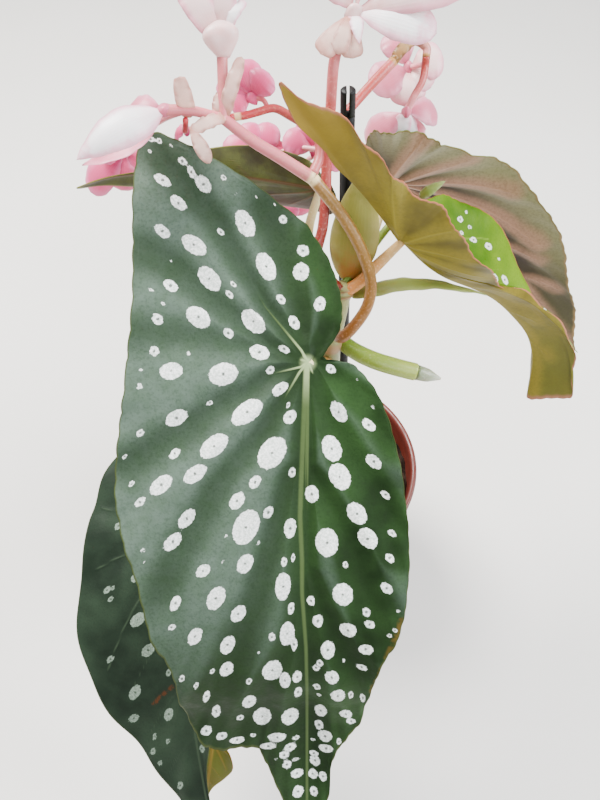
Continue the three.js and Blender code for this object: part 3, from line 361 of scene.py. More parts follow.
# Browned stretches of two leaves, read the same way, and their half widths in mm.
SCORCHES = dict(
    main_leaf=([(402, 622), (397, 640), (386, 664), (377, 684), (373, 692)], 1.7),
    lower_left_leaf=([(172, 687), (162, 695), (153, 705)], 1.0))
DULL_SPOTS = [
    (137, 620, 17, 15), (147, 651, 13, 14), (134, 693, 12, 15), (136, 577, 10, 11), (134, 718, 11, 9),
    (168, 715, 10, 13), (107, 590, 8, 8), (109, 660, 8, 8), (118, 526, 8, 8), (154, 737, 5, 7),
    (168, 741, 5, 6), (153, 751, 6, 7), (160, 763, 5, 6), (113, 588, 5, 5), (111, 599, 6, 6),
]
YOUNG_SPOTS = [
    (447, 221, 7, 10), (460, 219, 6, 6), (466, 212, 3, 3), (470, 226, 4, 4), (462, 231, 4, 4),
    (474, 238, 7, 6), (489, 245, 7, 8), (499, 258, 3, 3), (496, 277, 5, 9), (505, 279, 6, 11),
    (516, 289, 3, 4), (510, 290, 3, 3),
]
# Each spotted leaf: its read spots, the pixel or place that they lean away from, and the spots thrown where
# the photograph doesn't show them: how many, their sizes, and how far they keep from the read ones. The
# right leaf's are in millimetres, because none of them was read.
SPOTTING = dict(
    main_leaf=(MAIN_SPOTS, LEAF_HEART, 30, (6, 13), 0),
    lower_left_leaf=(DULL_SPOTS, (240, 480), 26, (6, 14), 26),
    young_leaf=(YOUNG_SPOTS, (395, 205), 70, (2.5, 6), 12),
    right_leaf=([], (0, 0), 60, (1.5, 4.5), 0))
UNSPOTTED = ([], (0, 0), 0, (1, 1), 0)
SPOT_CORE = "#2c382a"
# The big leaf's veins, read the same way from the heart outwards: the share of the run that shows pale,
# the pale line's half width in mm at the heart, how deep the valley is, and the points.
WHOLE = 9                         # a vein with this share stays pale to its end
MAIN_VEINS = [
    (WHOLE, 1.0, 1, [(307, 364), (304, 418), (302, 464), (300, 518), (302, 562), (302, 596), (306, 651),
                     (307, 696), (307, 798), (307, 880)]),
    (0.45, 0.42, 1, [(301, 350), (265, 306), (237, 258), (219, 226), (195, 196), (173, 170), (159, 150)]),
    (0.18, 0.36, 1, [(299, 360), (269, 346), (243, 324), (215, 302), (191, 282), (169, 264), (139, 250)]),
    (0.16, 0.34, 0.8, [(296, 358), (277, 354), (245, 345), (215, 340), (175, 334), (137, 330)]),
    (0.4, 0.38, 1, [(301, 367), (274, 373), (248, 391), (221, 404), (194, 424), (160, 446), (128, 466)]),
    (0.32, 0.42, 1, [(299, 373), (281, 404), (266, 427), (243, 456), (221, 484), (210, 500), (180, 552),
                     (160, 590)]),
    (0.16, 0.36, 0.9, [(299, 350), (299, 310), (291, 282), (283, 254), (271, 226), (265, 206)]),
    (0.25, 0.45, 1, [(301, 464), (288, 482), (270, 549), (252, 607), (222, 690), (190, 735)]),
    (0.2, 0.5, 1, [(303, 464), (317, 484), (334, 516), (352, 549), (368, 596), (380, 640)]),
    (0.2, 0.5, 1, [(307, 569), (323, 613), (343, 656), (357, 673), (366, 694)]),
    (0.2, 0.36, 1, [(314, 376), (323, 407), (337, 433), (350, 460), (377, 500), (400, 545)]),
    (0.2, 0.4, 0.8, [(303, 600), (286, 655), (262, 700), (245, 735)]),
    (0.2, 0.4, 0.7, [(312, 360), (330, 330), (338, 300), (332, 270), (318, 245)]),
    (0.2, 0.4, 0.6, [(316, 362), (345, 385), (375, 410), (398, 440)]),
    (0.2, 0.4, 0.5, [(306, 690), (322, 715), (342, 738)]),
]


# ---------------------------------------------------------------- small maths
def unit(vectors):
    vectors = np.asarray(vectors, float)
    return vectors / np.linalg.norm(vectors, axis=-1, keepdims=True)


def smoothstep(low, high, values):
    share = np.clip((np.asarray(values, float) - low) / (high - low), 0, 1)
    return share * share * (3 - 2 * share)


def running_sum(steps):
    return np.concatenate([[0], np.cumsum(steps)])


def circle(count):
    """Cosines and sines of evenly spaced angles, as columns."""
    turn = 2 * np.pi * np.arange(count)[:, None] / count
    return np.cos(turn), np.sin(turn)


def to_photo(points):
    """Pixels of the photograph, and depths, of points in millimetres."""
    pitch = math.radians(CAMERA_PITCH)
    forward = np.array([0, math.cos(pitch), -math.sin(pitch)])
    up = np.array([0, math.sin(pitch), math.cos(pitch)])
    offset = np.asarray(points, float) - CAMERA_AT
    depth = offset @ forward
    across = PHOTO_WIDTH / 2 + FOCAL_PIXELS * offset[..., 0] / depth
    down = PHOTO_HEIGHT / 2 - FOCAL_PIXELS * (offset @ up) / depth
    return across, down, depth


def curve_points(route, count):
    """count + 1 points of the centripetal Catmull-Rom curve through a route, and their tangents."""
    route = np.asarray(route, float)
    padded = np.vstack([2 * route[0] - route[1], route, 2 * route[-1] - route[-2]])
    place = np.linspace(0, 1, count + 1) * (len(route) - 1)
    slot = np.minimum(place.astype(int), len(route) - 2)
    share = (place - slot)[:, None]
    p0, p1, p2, p3 = (padded[slot + shift] for shift in range(4))
    d0, d1, d2 = (np.sqrt(np.linalg.norm(b - a, axis=1))[:, None] for a, b in ((p0, p1), (p1, p2), (p2, p3)))
    out = ((p1 - p0) / d0 - (p2 - p0) / (d0 + d1) + (p2 - p1) / d1) * d1
    into = ((p2 - p1) / d1 - (p3 - p1) / (d1 + d2) + (p3 - p2) / d2) * d1
    square = -3 * p1 + 3 * p2 - 2 * out - into
    cube = 2 * p1 - 2 * p2 + out + into
    points = p1 + out * share + square * share ** 2 + cube * share ** 3
    return points, unit(out + 2 * square * share + 3 * cube * share ** 2)


# ---------------------------------------------------------------- mesh helpers
def ring_faces(rows, sides, first=0, tips=None, flipped=False):
    """Faces between neighbouring closed rings of points, with a fan to a tip or one flat face at each end."""
    ring = first + np.arange(rows * sides).reshape(rows, sides)
    following = np.roll(ring, -1, axis=1)
    faces = np.stack([ring[:-1], following[:-1], following[1:], ring[1:]], -1).reshape(-1, 4).tolist()
    if tips:
        faces += np.stack([np.full(sides, tips[0]), following[0], ring[0]], -1).tolist()
        faces += np.stack([np.full(sides, tips[1]), ring[-1], following[-1]], -1).tolist()
    else:
        faces += [ring[0, ::-1].tolist(), ring[-1].tolist()]
    return [face[:1] + face[:0:-1] for face in faces] if flipped else faces


def join_shapes(shapes):
    """One list of points, faces and attributes from several (points, faces, attributes) shapes."""
    points, faces, columns, start = [], [], {}, 0
    for shape_points, shape_faces, attributes in shapes:
        points.append(shape_points)
        faces += [[start + number for number in face] for face in shape_faces]
        for label, values in attributes.items():
            columns.setdefault(label, []).append(np.broadcast_to(values, len(shape_points)))
        start += len(shape_points)
    return np.vstack(points), faces, {label: np.concatenate(parts) for label, parts in columns.items()}


def make_piece(name, slot, node, shapes, materials, face_materials=None):
    """A smooth-shaded piece from shapes in millimetres. It rides on the plant and stands for its CAD node."""
    points, faces, attributes = join_shapes(shapes)
    mesh = bpy.data.meshes.new(name)
    mesh.from_pydata((points * MM).tolist(), [], faces)
    for label, values in attributes.items():
        mesh.attributes.new(label, "FLOAT", "POINT").data.foreach_set("value", values.astype(np.float32))
    for material in materials:
        mesh.materials.append(material)
    if face_materials:
        mesh.polygons.foreach_set("material_index", np.array(face_materials, np.int32))
    mesh.polygons.foreach_set("use_smooth", np.ones(len(mesh.polygons), bool))
    mesh.update()
    piece = bpy.data.objects.new(name, mesh)
    bpy.context.scene.collection.objects.link(piece)
    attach(piece, "root")
    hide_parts(node)


def tube(route, radii, count, sides=20, swell=None, tone=(0, 1)):
    """A round stem along a curve, with domed ends, and attributes along and tone."""
    centres, tangents = curve_points(route, count)
    along = np.linspace(0, 1, count + 1)
    radius = np.interp(along * (len(radii) - 1), range(len(radii)), radii)
    if swell:
        radius = radius + swell(along)
    helper = (0, 0, 1) if abs(tangents[0][2]) < STEEP else (0, 1, 0)
    across = unit(np.cross(helper, tangents[0]))
    cosines, sines = circle(sides)
    rings = []
    for centre, tangent, ring_radius in zip(centres, tangents, radius):
        across = unit(across - tangent * (across @ tangent))
        rings.append(centre + ring_radius * (cosines * across + sines * np.cross(tangent, across)))
    rings += [centres[0] - tangents[0] * radius[0] * DOME, centres[-1] + tangents[-1] * radius[-1] * DOME]
    last = (count + 1) * sides
    share = np.concatenate([np.repeat(along, sides), [0, 1]])
    return (np.vstack(rings), ring_faces(count + 1, sides, tips=(last, last + 1)),
            dict(along=share, tone=tone[0] + (tone[1] - tone[0]) * share))


# ---------------------------------------------------------------- leaves
def leaf_axes(leaf):
    tip = unit(leaf["to_tip"])
    wide = np.array(leaf["to_wide"], float)
    wide = unit(wide - tip * (wide @ tip))
    return tip, wide, np.cross(wide, tip)


def bend_at(bend, along):
    places, angles = np.array(bend, float).T
    slot = np.clip(np.searchsorted(places, along) - 1, 0, len(places) - 2)
    share = smoothstep(0, 1, (along - places[slot]) / (places[slot + 1] - places[slot]))
    return np.radians(angles[slot] + (angles[slot + 1] - angles[slot]) * share)


def spine_at(bend, along):
    """How far the midrib has run forwards and risen at distances along it."""
    reach = math.ceil(np.abs(along).max()) + 2
    marks = np.arange(-reach, reach + 1)
    angle = bend_at(bend, marks[:-1] + 0.5)
    run, rise = running_sum(np.cos(angle)), running_sum(-np.sin(angle))
    return np.interp(along, marks, run - run[reach]), np.interp(along, marks, rise - rise[reach])


def on_leaf(leaf, across, along, lift):
    """Points and normals of a leaf's middle surface, lift being the height over its folded plane."""
    tip, wide, upper = leaf_axes(leaf)
    fold = np.radians(np.where(across > 0, leaf["fold"][0], leaf["fold"][1]))
    crease = np.hypot(across, CREASE)
    height = ((crease - CREASE) * np.sin(fold) + lift)[..., None]
    slope = (fold * across / crease)[..., None]
    run, rise = spine_at(leaf["bend"], along)
    bend = bend_at(leaf["bend"], along)[..., None]
    over = upper * np.cos(bend) + tip * np.sin(bend)
    points = (np.array(leaf["at"], float) + tip * run[..., None] + upper * rise[..., None]
              + wide * (across * np.cos(fold))[..., None] + over * height)
    return points, over * np.cos(slope) - wide * np.sin(slope)


def leaf_outline(leaf):
    """The leaf's margin as a smooth closed curve in millimetres, and how far round each point of it is."""
    corners = np.array(leaf["outline"], float)
    count = len(corners)
    place = np.arange(count * leaf["spokes"]) / leaf["spokes"]
    slot = place.astype(int)
    share = (place - slot)[:, None]
    p0, p1, p2, p3 = (corners[(slot + shift) % count] for shift in (-1, 0, 1, 2))
    shares = 0.5 * (2 * p1 + (p2 - p0) * share + (2 * p0 - 5 * p1 + 4 * p2 - p3) * share ** 2
                    + (3 * p1 - p0 - 3 * p2 + p3) * share ** 3)
    across = shares[:, 0] * np.where(shares[:, 0] > 0, leaf["wide"], leaf["narrow"])
    along = shares[:, 1] * np.where(shares[:, 1] > 0, leaf["length"], leaf["ear"])
    if "teeth" in leaf:
        height, teeth = leaf["teeth"]
        wave = np.abs(np.sin(np.pi * teeth * place / count)) - TOOTH_MIDDLE
        bite = 1 + height / np.hypot(across, along) * wave
        across, along = across * bite, along * bite
    return across, along, place / count


def leaf_veins(leaf, across, along):
    """Veins as point lists in the leaf's own millimetres, with how strong each is."""
    bearing = np.degrees(np.arctan2(across, along))
    order = np.argsort(bearing)
    reach = np.hypot(across, along)[order]
    steps = np.linspace(0, 1, VEIN_STEPS + 1)

    def run(start, angle, room, far, strength, turn):
        heading = np.radians(angle - turn * np.sign(angle) * steps ** 1.5)[1:]
        step = far * room / VEIN_STEPS
        return np.column_stack([running_sum(np.sin(heading) * step),
                                start + running_sum(np.cos(heading) * step)]), strength

    veins = [(np.array([(0, 0), (0, leaf["length"] * MIDRIB_END)]), 1.0)]
    for angle in leaf["side_veins"]:
        veins.append(run(0, angle, np.interp(angle, bearing[order], reach), *FROM_STALK))
    for share in leaf["branches"]:
        for side, half in ((1, leaf["wide"]), (-1, leaf["narrow"])):
            room = half * (1 - share) ** 0.7
            veins.append(run(share * leaf["length"], side * BRANCH_ANGLE, room, *FROM_MIDRIB))
    return veins


def distance_to_line(x, y, line):
    """How far points are from a bent line, and how far along it the nearest place is, as a share."""
    best = np.full(np.shape(x), np.inf)
    share_at_best = np.zeros(np.shape(x))
    line = np.asarray(line, float)
    for number, (start, end) in enumerate(zip(line[:-1], line[1:])):
        step = end - start
        share = np.clip(((x - start[0]) * step[0] + (y - start[1]) * step[1]) / (step @ step), 0, 1)
        gap = np.hypot(x - start[0] - share * step[0], y - start[1] - share * step[1])
        share_at_best = np.where(gap < best, (number + share) / (len(line) - 1), share_at_best)
        best = np.minimum(gap, best)
    return best, share_at_best


def fading(gap, share, ends):
    """From 1 on a vein to 0 beside it; ends are the half widths in mm at the vein's start and its end."""
    return np.exp(-(gap / np.interp(share, (0, 1), ends)) ** 2)


def ruled_vein_fields(leaf, x, y, margin_x, margin_y):
    """How much a vein shows, and how deep its valley is, from 0 to 1, by rule from the leaf's outline."""
    vein, valley = np.zeros(x.shape), np.zeros(x.shape)
    for line, strength in leaf_veins(leaf, margin_x, margin_y):
        gap, share = distance_to_line(x, y, line)
        vein = np.maximum(vein, strength ** 0.5 * fading(gap, share, THINNEST + strength * RULED_VEIN))
        valley = np.maximum(valley, strength ** 0.5 * fading(gap, share, RULED_VALLEY))
    return vein, valley


def read_vein_fields(across, down, scale):
    """The same for the big leaf, whose veins were read on the photograph."""
    vein, valley = np.zeros(across.shape), np.zeros(across.shape)
    for pale, width, depth, route in MAIN_VEINS:
        gap, share = distance_to_line(across, down, [LEAF_HEART] + route)
        gap = gap * scale
        shown = 1 - smoothstep(0.35 * pale, pale, share)
        vein = np.maximum(vein, shown * fading(gap / width, share, READ_VEIN))
        valley = np.maximum(valley, depth * fading(gap, share, READ_VALLEY))
    return vein, valley


def spot_fields(a, b, scale, spots, heart):
    """Distance from the nearest spot's edge (negative inside) and offsets from its middle, all in mm.

    a and b are coordinates in the units of the spots, and scale is a unit's length in mm. A spot leans
    along the ray from the heart.
    """
    edge, east, north = (np.full(a.shape, SPOT_REACH) for _ in range(3))
    for middle_a, middle_b, width, height in spots:
        reach = max(width, height) + 2 * SPOT_REACH
        near = (np.abs(a - middle_a) < reach) & (np.abs(b - middle_b) < reach)
        across, up = a[near] - middle_a, b[near] - middle_b
        lean = 0.5 * math.sin(2 * math.atan2(middle_b - heart[1], middle_a - heart[0]))
        wide, high = 2 * across / width, 2 * up / height
        radius = np.sqrt((wide ** 2 - 2 * lean * wide * high + high ** 2) / (1 - lean ** 2))
        gap = (radius - 1) * 0.25 * (width + height) * scale[near]
        closer = gap < edge[near]
        for field, values in ((edge, gap), (east, across * scale[near]), (north, up * scale[near])):
            field[near] = np.where(closer, values, field[near])
    return edge, np.clip(east, -SPOT_REACH, SPOT_REACH), np.clip(north, -SPOT_REACH, SPOT_REACH)


def scattered_spots(a, b, shares, allowed, count, sizes, known, room):
    """Spots thrown over a grid's allowed points at random, none touching another or near a known one."""
    random = np.random.default_rng(RANDOM_SEED)
    places = np.flatnonzero((allowed & (shares > SPOT_BAND[0]) & (shares < SPOT_BAND[1])).ravel())
    spots = []
    for attempt in range(count * TRIES if len(places) else 0):
        place = random.choice(places)
        size = random.uniform(*sizes) * (1 - SPOT_SHRINK * shares.ravel()[place] ** 4)
        spot = a.ravel()[place], b.ravel()[place]
        clear = all(math.dist(spot, other[:2]) > SPOT_ROOM * (size + other[2]) for other in spots)
        if clear and all(math.dist(spot, other[:2]) > room for other in known):
            spots.append((*spot, size * random.uniform(*SPOT_WIDE), size * random.uniform(*SPOT_HIGH)))
        if len(spots) == count:
            break
    return spots


def leaf_surface(name):
    """A leaf's grid: coordinates, place in the photograph, veins, valleys, and its points and normals."""
    leaf = LEAVES[name]
    margin_x, margin_y, turn = leaf_outline(leaf)
    shares = np.linspace(0, 1, leaf["rings"] + 1)[1:, None]
    x, y = shares * margin_x, shares * margin_y
    lift = np.zeros(x.shape)
    for (height, waves), power in ((leaf["ruffle"], 3), (leaf.get("frill", (0, 1)), 7)):
        lift += height * shares ** power * np.sin(2 * np.pi * waves * turn)
    across, down, depth = to_photo(on_leaf(leaf, x, y, lift)[0])
    scale = depth / FOCAL_PIXELS
    if name == "main_leaf":
        vein, valley = read_vein_fields(across, down, scale)
    else:
        vein, valley = ruled_vein_fields(leaf, x, y, margin_x, margin_y)
    scorch = np.zeros(x.shape)
    if name in SCORCHES:
        line, width = SCORCHES[name]
        scorch = np.exp(-(distance_to_line(across, down, line)[0] * scale / width) ** 2)
    # The valleys are shallow round the stalk, and lose more than half of their depth at the margin.
    calm = smoothstep(0, 0.25, shares) * (1 - 0.55 * smoothstep(0.75, 1, shares))
    points, normals = on_leaf(leaf, x, y, lift - leaf["puff"] * valley * calm)
    return dict(x=x, y=y, shares=np.broadcast_to(shares, x.shape), across=across, down=down,
                scale=scale, vein=vein, valley=valley, scorch=scorch, points=points, normals=normals)


def leaf_spots(name, surface):
    """The spot fields of one leaf, from the spots read on the photograph and others at random."""
    read, heart, count, sizes, room = SPOTTING.get(name, UNSPOTTED)
    a, b, scale = surface["across"], surface["down"], surface["scale"]
    if not read:
        a, b, scale = surface["x"], surface["y"], np.ones(a.shape)
    allowed = b > OUT_OF_VIEW if name == "main_leaf" else np.ones(a.shape, bool)
    spots = read + scattered_spots(a, b, surface["shares"], allowed, count, sizes, read, room)
    return spot_fields(a, b, scale, spots, heart)


def build_blade(name, slot, materials):
    """A leaf's blade: an upper and a lower sheet, each a fan of spokes from the stalk, and a thin rim."""
    leaf, surface = LEAVES[name], leaf_surface(name)
    x, y, shares = (surface[key] for key in ("x", "y", "shares"))
    edge, east, north = leaf_spots(name, surface)
    rings, spokes = x.shape
    centre, centre_normal = on_leaf(leaf, np.zeros(1), np.zeros(1), np.zeros(1))
    thin = BLADE / 2 * np.where(shares > RIM_START, RIM_THICKNESS, 1.0)[..., None]
    sheets, faces, kinds = [], [], []
    for under, side in enumerate((1, -1)):
        rows = surface["points"] + side * thin * surface["normals"]
        start = under * (1 + rings * spokes)
        sheets.append(np.vstack([centre + side * BLADE / 2 * centre_normal, rows.reshape(-1, 3)]))
        grid = start + 1 + np.arange(rings * spokes).reshape(rings, spokes)
        following = np.roll(grid, -1, axis=1)
        quads = np.stack([grid[:-1], grid[1:], following[1:], following[:-1]], -1).reshape(-1, 4)
        fans = np.stack([np.full(spokes, start), grid[0], following[0]], -1)
        faces += quads[:, ::side].tolist() + fans[:, ::side].tolist()
        kinds += [under] * (len(quads) + len(fans))
    rim = 1 + (rings - 1) * spokes + np.arange(spokes)
    below = rim + 1 + rings * spokes
    faces += np.stack([rim, below, np.roll(below, -1), np.roll(rim, -1)], -1).tolist()
    kinds += [0] * spokes

    def both(values, middle):
        column = np.concatenate([[middle], values.ravel()])
        return np.concatenate([column, column])

    attributes = dict(
        spot=both(edge, SPOT_REACH), spot_east=both(east, SPOT_REACH), spot_north=both(north, SPOT_REACH),
        vein=both(surface["vein"], 1), valley=both(surface["valley"], 1), share=both(shares, 0),
        across=both(x / leaf["wide"], 0), along=both(y / leaf["length"], 0),
        reach=both(np.minimum(np.hypot(x, y), HEART_REACH), 0), scorch=both(surface["scorch"], 0))
    make_piece(name + "_blade", slot, name, [(np.vstack(sheets), faces, attributes)], materials, kinds)


# ---------------------------------------------------------------- materials
def colour(text):
    """A '#rrggbb' colour as the linear values that Blender's sockets take."""
    shares = [int(text[place:place + 2], 16) / 255 for place in (1, 3, 5)]
    return (*[share / 12.92 if share < 0.04045 else ((share + 0.055) / 1.055) ** 2.4 for share in shares], 1)


class Look:
    """A node material that is painted layer by layer over its first colour.

    A value in it is a number, a node's output, an attribute's name or a '#rrggbb' colour.
    """

    def __init__(self, name, base, roughness=0.5, specular=0.5, coat=0.0, sheen=0.0, scatter=0.0,
                 scatter_radius=(0.004, 0.002, 0.001)):
        self.material = bpy.data.materials.new(name)
        self.material.use_nodes = True
        self.tree = self.material.node_tree
        self.shader = self.tree.nodes["Principled BSDF"]
        settings = {"Roughness": roughness, "Specular IOR Level": specular, "Coat Weight": coat,
                    "Coat Roughness": 0.3, "Sheen Weight": sheen, "Sheen Roughness": 0.6,
                    "Subsurface Weight": scatter, "Subsurface Radius": scatter_radius,
                    "Subsurface Scale": 1.0}
        for label, value in settings.items():
            self.shader.inputs[label].default_value = value
        self.base = base
        self.bump_chain = None

    def node(self, kind, inputs=(), **settings):
        node = self.tree.nodes.new(kind)
        for key, value in settings.items():
            setattr(node, key, value)
        for label, value in dict(inputs).items():
            self.link(value, node.inputs[label])
        return node

    def link(self, source, target):
        if isinstance(source, str):
            source = colour(source) if source[0] == "#" else self.attribute(source)
        if isinstance(source, (int, float, tuple)):
            target.default_value = source
        else:
            self.tree.links.new(source, target)

    def attribute(self, label):
        return self.node("ShaderNodeAttribute", attribute_name=label).outputs["Fac"]

    def noise(self, size, detail=3.0, rough=0.55, stretch=None):
        """Noise from 0 to 1 whose blotches are about size millimetres across."""
        place = self.node("ShaderNodeTexCoord").outputs["Object"]
        if stretch:
            place = self.node("ShaderNodeMapping", {"Scale": stretch, "Vector": place}).outputs["Vector"]
        return self.node("ShaderNodeTexNoise", {"Scale": 1 / MM / size, "Detail": detail, "Roughness": rough,
                                                "Vector": place}).outputs["Fac"]

    def cells(self, size, feature="F1"):
        """Distance from the middles of cells that are about size millimetres across."""
        place = self.node("ShaderNodeTexCoord").outputs["Object"]
        return self.node("ShaderNodeTexVoronoi", {"Scale": 1 / MM / size, "Vector": place},
                         feature=feature).outputs["Distance"]

    def math(self, operation, *values):
        return self.node("ShaderNodeMath", enumerate(values), operation=operation).outputs[0]

    def plus(self, first, second):
        return self.math("ADD", first, second)

    def times(self, first, *others):
        for other in others:
            first = self.math("MULTIPLY", first, other)
        return first

    def ramp(self, value, low, high, start=0.0, end=1.0):
        """From start where value is low to end where it is high; low may be more than high."""
        return self.node("ShaderNodeMapRange", enumerate((value, low, high, start, end)),
                         interpolation_type="SMOOTHSTEP").outputs["Result"]

    def mix(self, share, first, second):
        return self.node("ShaderNodeMix", {0: share, 6: first, 7: second}, data_type="RGBA").outputs[2]

    def paint(self, value, low, high, tint, most=1.0):
        """Paints a tint over the base colour, none of it where value is low and most where it is high."""
        if tint:
            self.base = self.mix(self.ramp(value, low, high, 0, most), self.base, tint)

    def bump(self, height, depth, strength=0.5):
        """Adds relief: height runs from 0 to 1, depth is in millimetres."""
        inputs = {"Strength": strength, "Distance": depth * MM, "Height": height}
        if self.bump_chain:
            inputs["Normal"] = self.bump_chain
        self.bump_chain = self.node("ShaderNodeBump", inputs).outputs["Normal"]

    def finish(self, roughness=None, through=0.0):
        """Joins everything up; through is the share of light that comes through from the other side."""
        joints = {"Base Color": self.base, "Roughness": roughness, "Normal": self.bump_chain}
        for label, source in joints.items():
            if source:
                self.link(source, self.shader.inputs[label])
        if through:
            glow = self.node("ShaderNodeBsdfTranslucent", {"Color": self.base})
            mixer = self.node("ShaderNodeMixShader", {"Fac": through, 1: self.shader.outputs["BSDF"],
                                                      2: glow.outputs["BSDF"]})
            self.link(mixer.outputs["Shader"], self.tree.nodes["Material Output"].inputs["Surface"])
        return self.material


def leaf_top(name, dark, light, vein, spot, rim, painted_sheen=None, painted_sheen_span=(-0.1, 0.4), painted_sheen_end=(0.3, 0.75),
             wide_tint=None, heart=None, scorch=None, silver="#fbfcf9", spotted=True, roughness=0.42,
             through=0.12):
    """A leaf's upper side. The sheen colour is a paler painted sheen, on the wide side and near the stalk."""
    look = Look(name, dark, roughness=roughness, specular=0.07)
    middle = look.noise(5, 4)
    look.paint(look.noise(26, 2), 0.35, 0.66, light)
    # The wide side's tint; on the big leaf it is a greyer green, a painted sheen.
    look.paint("across", -0.2, 0.3, wide_tint)
    # Painted sheen: paler on the wide side and near the stalk, weaker in the valleys, and brighter on the
    # raised puffs between the veins.
    if painted_sheen:
        share = look.times(look.ramp("across", *painted_sheen_span), look.ramp("along", *painted_sheen_end, 1, 0),
                           look.ramp("valley", 0.0, 0.9, 1, 0.5),
                           look.ramp(look.noise(9, 4), 0.25, 0.7, 0.7, 1))
        ridge = look.times(look.ramp("valley", 0.0, 0.4, 0.4, 0), look.ramp("along", 0.45, 0.7, 1, 0))
        for part in (share, ridge):
            look.base = look.mix(part, look.base, painted_sheen)
    look.paint(middle, 0.3, 0.75, light, 0.3)
    look.paint(look.noise(0.9, 3), 0.45, 0.7, dark, 0.25)
    # Painted shade: darker in the valleys along the veins.
    look.paint("valley", 0.15, 1, dark, 0.35)
    look.paint("vein", 0.3, 0.95, vein, 0.85)
    if heart:
        glow = look.times(look.ramp("vein", 0.3, 0.9), look.ramp("reach", 1, 15, 0.9, 0))
        look.base = look.mix(glow, look.base, heart)
        look.paint("reach", 3.4, 0.6, heart, 0.8)
    if scorch:
        patchy = look.times("scorch", look.ramp(look.noise(2.2, 4), 0.3, 0.6, 0.35, 1))
        look.paint(patchy, 0.25, 0.8, scorch, 0.85)
    look.paint("share", 0.988, 0.999, rim)
    if spotted:
        ragged = look.times(look.plus(look.noise(1.2, 4, 0.7), -0.5), 1.5)
        inside = look.ramp(look.plus("spot", ragged), 0.12, -0.16, 0, 0.97)
        silver = look.mix(look.ramp(look.noise(0.8, 4, 0.7), 0.4, 0.6), spot, silver)
        look.base = look.mix(inside, look.base, silver)
        offset = look.node("ShaderNodeCombineXYZ", {0: "spot_east", 1: "spot_north"}).outputs[0]
        length = look.node("ShaderNodeVectorMath", {0: offset}, operation="LENGTH").outputs["Value"]
        core = look.times(look.ramp(look.plus(length, ragged), 0.25, 0.6, 0.85, 0),
                          look.ramp("spot", -0.5, -0.1, 1, 0))
        look.base = look.mix(core, look.base, SPOT_CORE)
    look.bump(look.cells(0.55, "SMOOTH_F1"), 0.05)
    look.bump(look.noise(1.3), 0.14, 0.6)
    look.bump(look.noise(4.5), 0.5)
    look.bump("vein", 0.3, 0.6)
    return look.finish(look.ramp(middle, 0.2, 0.8, roughness - 0.1, roughness + 0.12), through)


def leaf_under(name, dark, light, vein, ear=None, rim=None, through=0.2, blotch=14, ridge=None,
               wide_tint=None, tip_tint=None, painted_shadow_tint=None):
    """A leaf's underside. ridge is the colour along its raised veins, the tint near the midrib and on the
    narrow side is a painted shadow, and the other tints are for its parts.
    """
    look = Look(name, dark, specular=0.3, coat=0.05, sheen=0.04)
    look.paint(look.noise(blotch), 0.33, 0.68, light)
    look.paint("across", 0.25, 0.9, wide_tint, 0.8)
    # Painted shadow: darker near the midrib and on the narrow side.
    look.paint("across", 0.5, 0.1, painted_shadow_tint, 0.7)
    look.paint("along", 0.45, 0.85, tip_tint, 0.8)
    if ridge:
        look.paint(look.plus("valley", look.times(look.noise(7), 0.3)), 0.45, 1.0, ridge, 0.85)
    look.paint(look.noise(1.1, 4), 0.35, 0.75, dark, 0.3)
    look.paint("along", -0.15, -0.6, ear, 0.8)
    look.paint("vein", 0.3, 0.9, vein, 0.8)
    look.paint("share", 0.975, 0.997, rim)
    look.bump(look.cells(0.6, "SMOOTH_F1"), 0.05)
    look.bump(look.noise(1.5), 0.12)
    look.bump("vein", 0.4, 0.6)
    return look.finish(through=through)


def stem_look(name, low, middle, high, freckle, ring=None, other=None, roughness=0.4, scatter=0.12):
    """A stem's skin from its low to its high colour, with freckles, pale joints and its other colour."""
    look = Look(name, low, roughness=roughness, specular=0.4, coat=0.08, scatter=scatter)
    share = look.plus("tone", look.times(look.noise(6), 0.24))
    look.paint(share, 0.1, 0.6, middle)
    look.paint(share, 0.6, 1.08, high)
    look.paint("hue", 0.1, 1, other)
    look.paint(look.noise(0.8, 4), 0.5, 0.78, freckle, 0.4)
    look.paint(look.cells(2.2), 0.11, 0.05, freckle, 0.35)
    look.paint("joint", 0.25, 0.8, ring, 0.85)
    look.bump(look.noise(1.2), 0.08)
    look.bump(look.noise(0.5, 2, stretch=(4, 4, 0.6)), 0.05)
    return look.finish()


def tepal_look(name, heart, middle, edge, through=0.3):
    """A waxy tepal: heart at its base, middle over its blade, edge at its margin and tip."""
    look = Look(name, heart, roughness=0.38, specular=0.4, coat=0.1, sheen=0.15, scatter=0.15,
                scatter_radius=(0.003, 0.0015, 0.0012))
    wash = look.times(look.plus(look.noise(3.2, 4), -0.5), 0.5)
    along = look.plus("along", wash)
    lines = look.math("SINE", look.times("cross", 40.0))
    look.paint(along, 0.0, 0.45, middle)
    look.paint(look.plus("side", wash), 0.45, 0.98, edge, 0.85)
    look.paint(along, 0.72, 1.0, edge, 0.7)
    look.paint(lines, 0.5, 1, edge, 0.1)
    look.bump(lines, 0.03, 0.3)
    look.bump(look.noise(0.8), 0.05)
    return look.finish(through=through)


# ---------------------------------------------------------------- tepals and flowers
def blade_width(form, along, blunt):
    """A blade's half width along its length, as a share: a leaf, round petal, boat, strap or fan."""
    if form == "petal":
        rise = np.sin(np.pi / 2 * np.clip(along / PETAL_PEAK, 0, 1)) ** 0.9
        fall = np.clip(1 - (np.clip(along - PETAL_PEAK, 0, 1) / (1 - PETAL_PEAK)) ** 2, 0, 1) ** 0.5
        return rise * fall
    if form == "fan":
        return (0.3 + 0.7 * along ** 0.8) * (1 - along ** 14) ** 0.5
    power, bias = dict(leaf=(0.75, blunt), boat=(0.85, 0.8), strap=(0.24, 0.9))[form]
    return np.clip(np.sin(np.pi * along ** bias), 0, 1) ** power


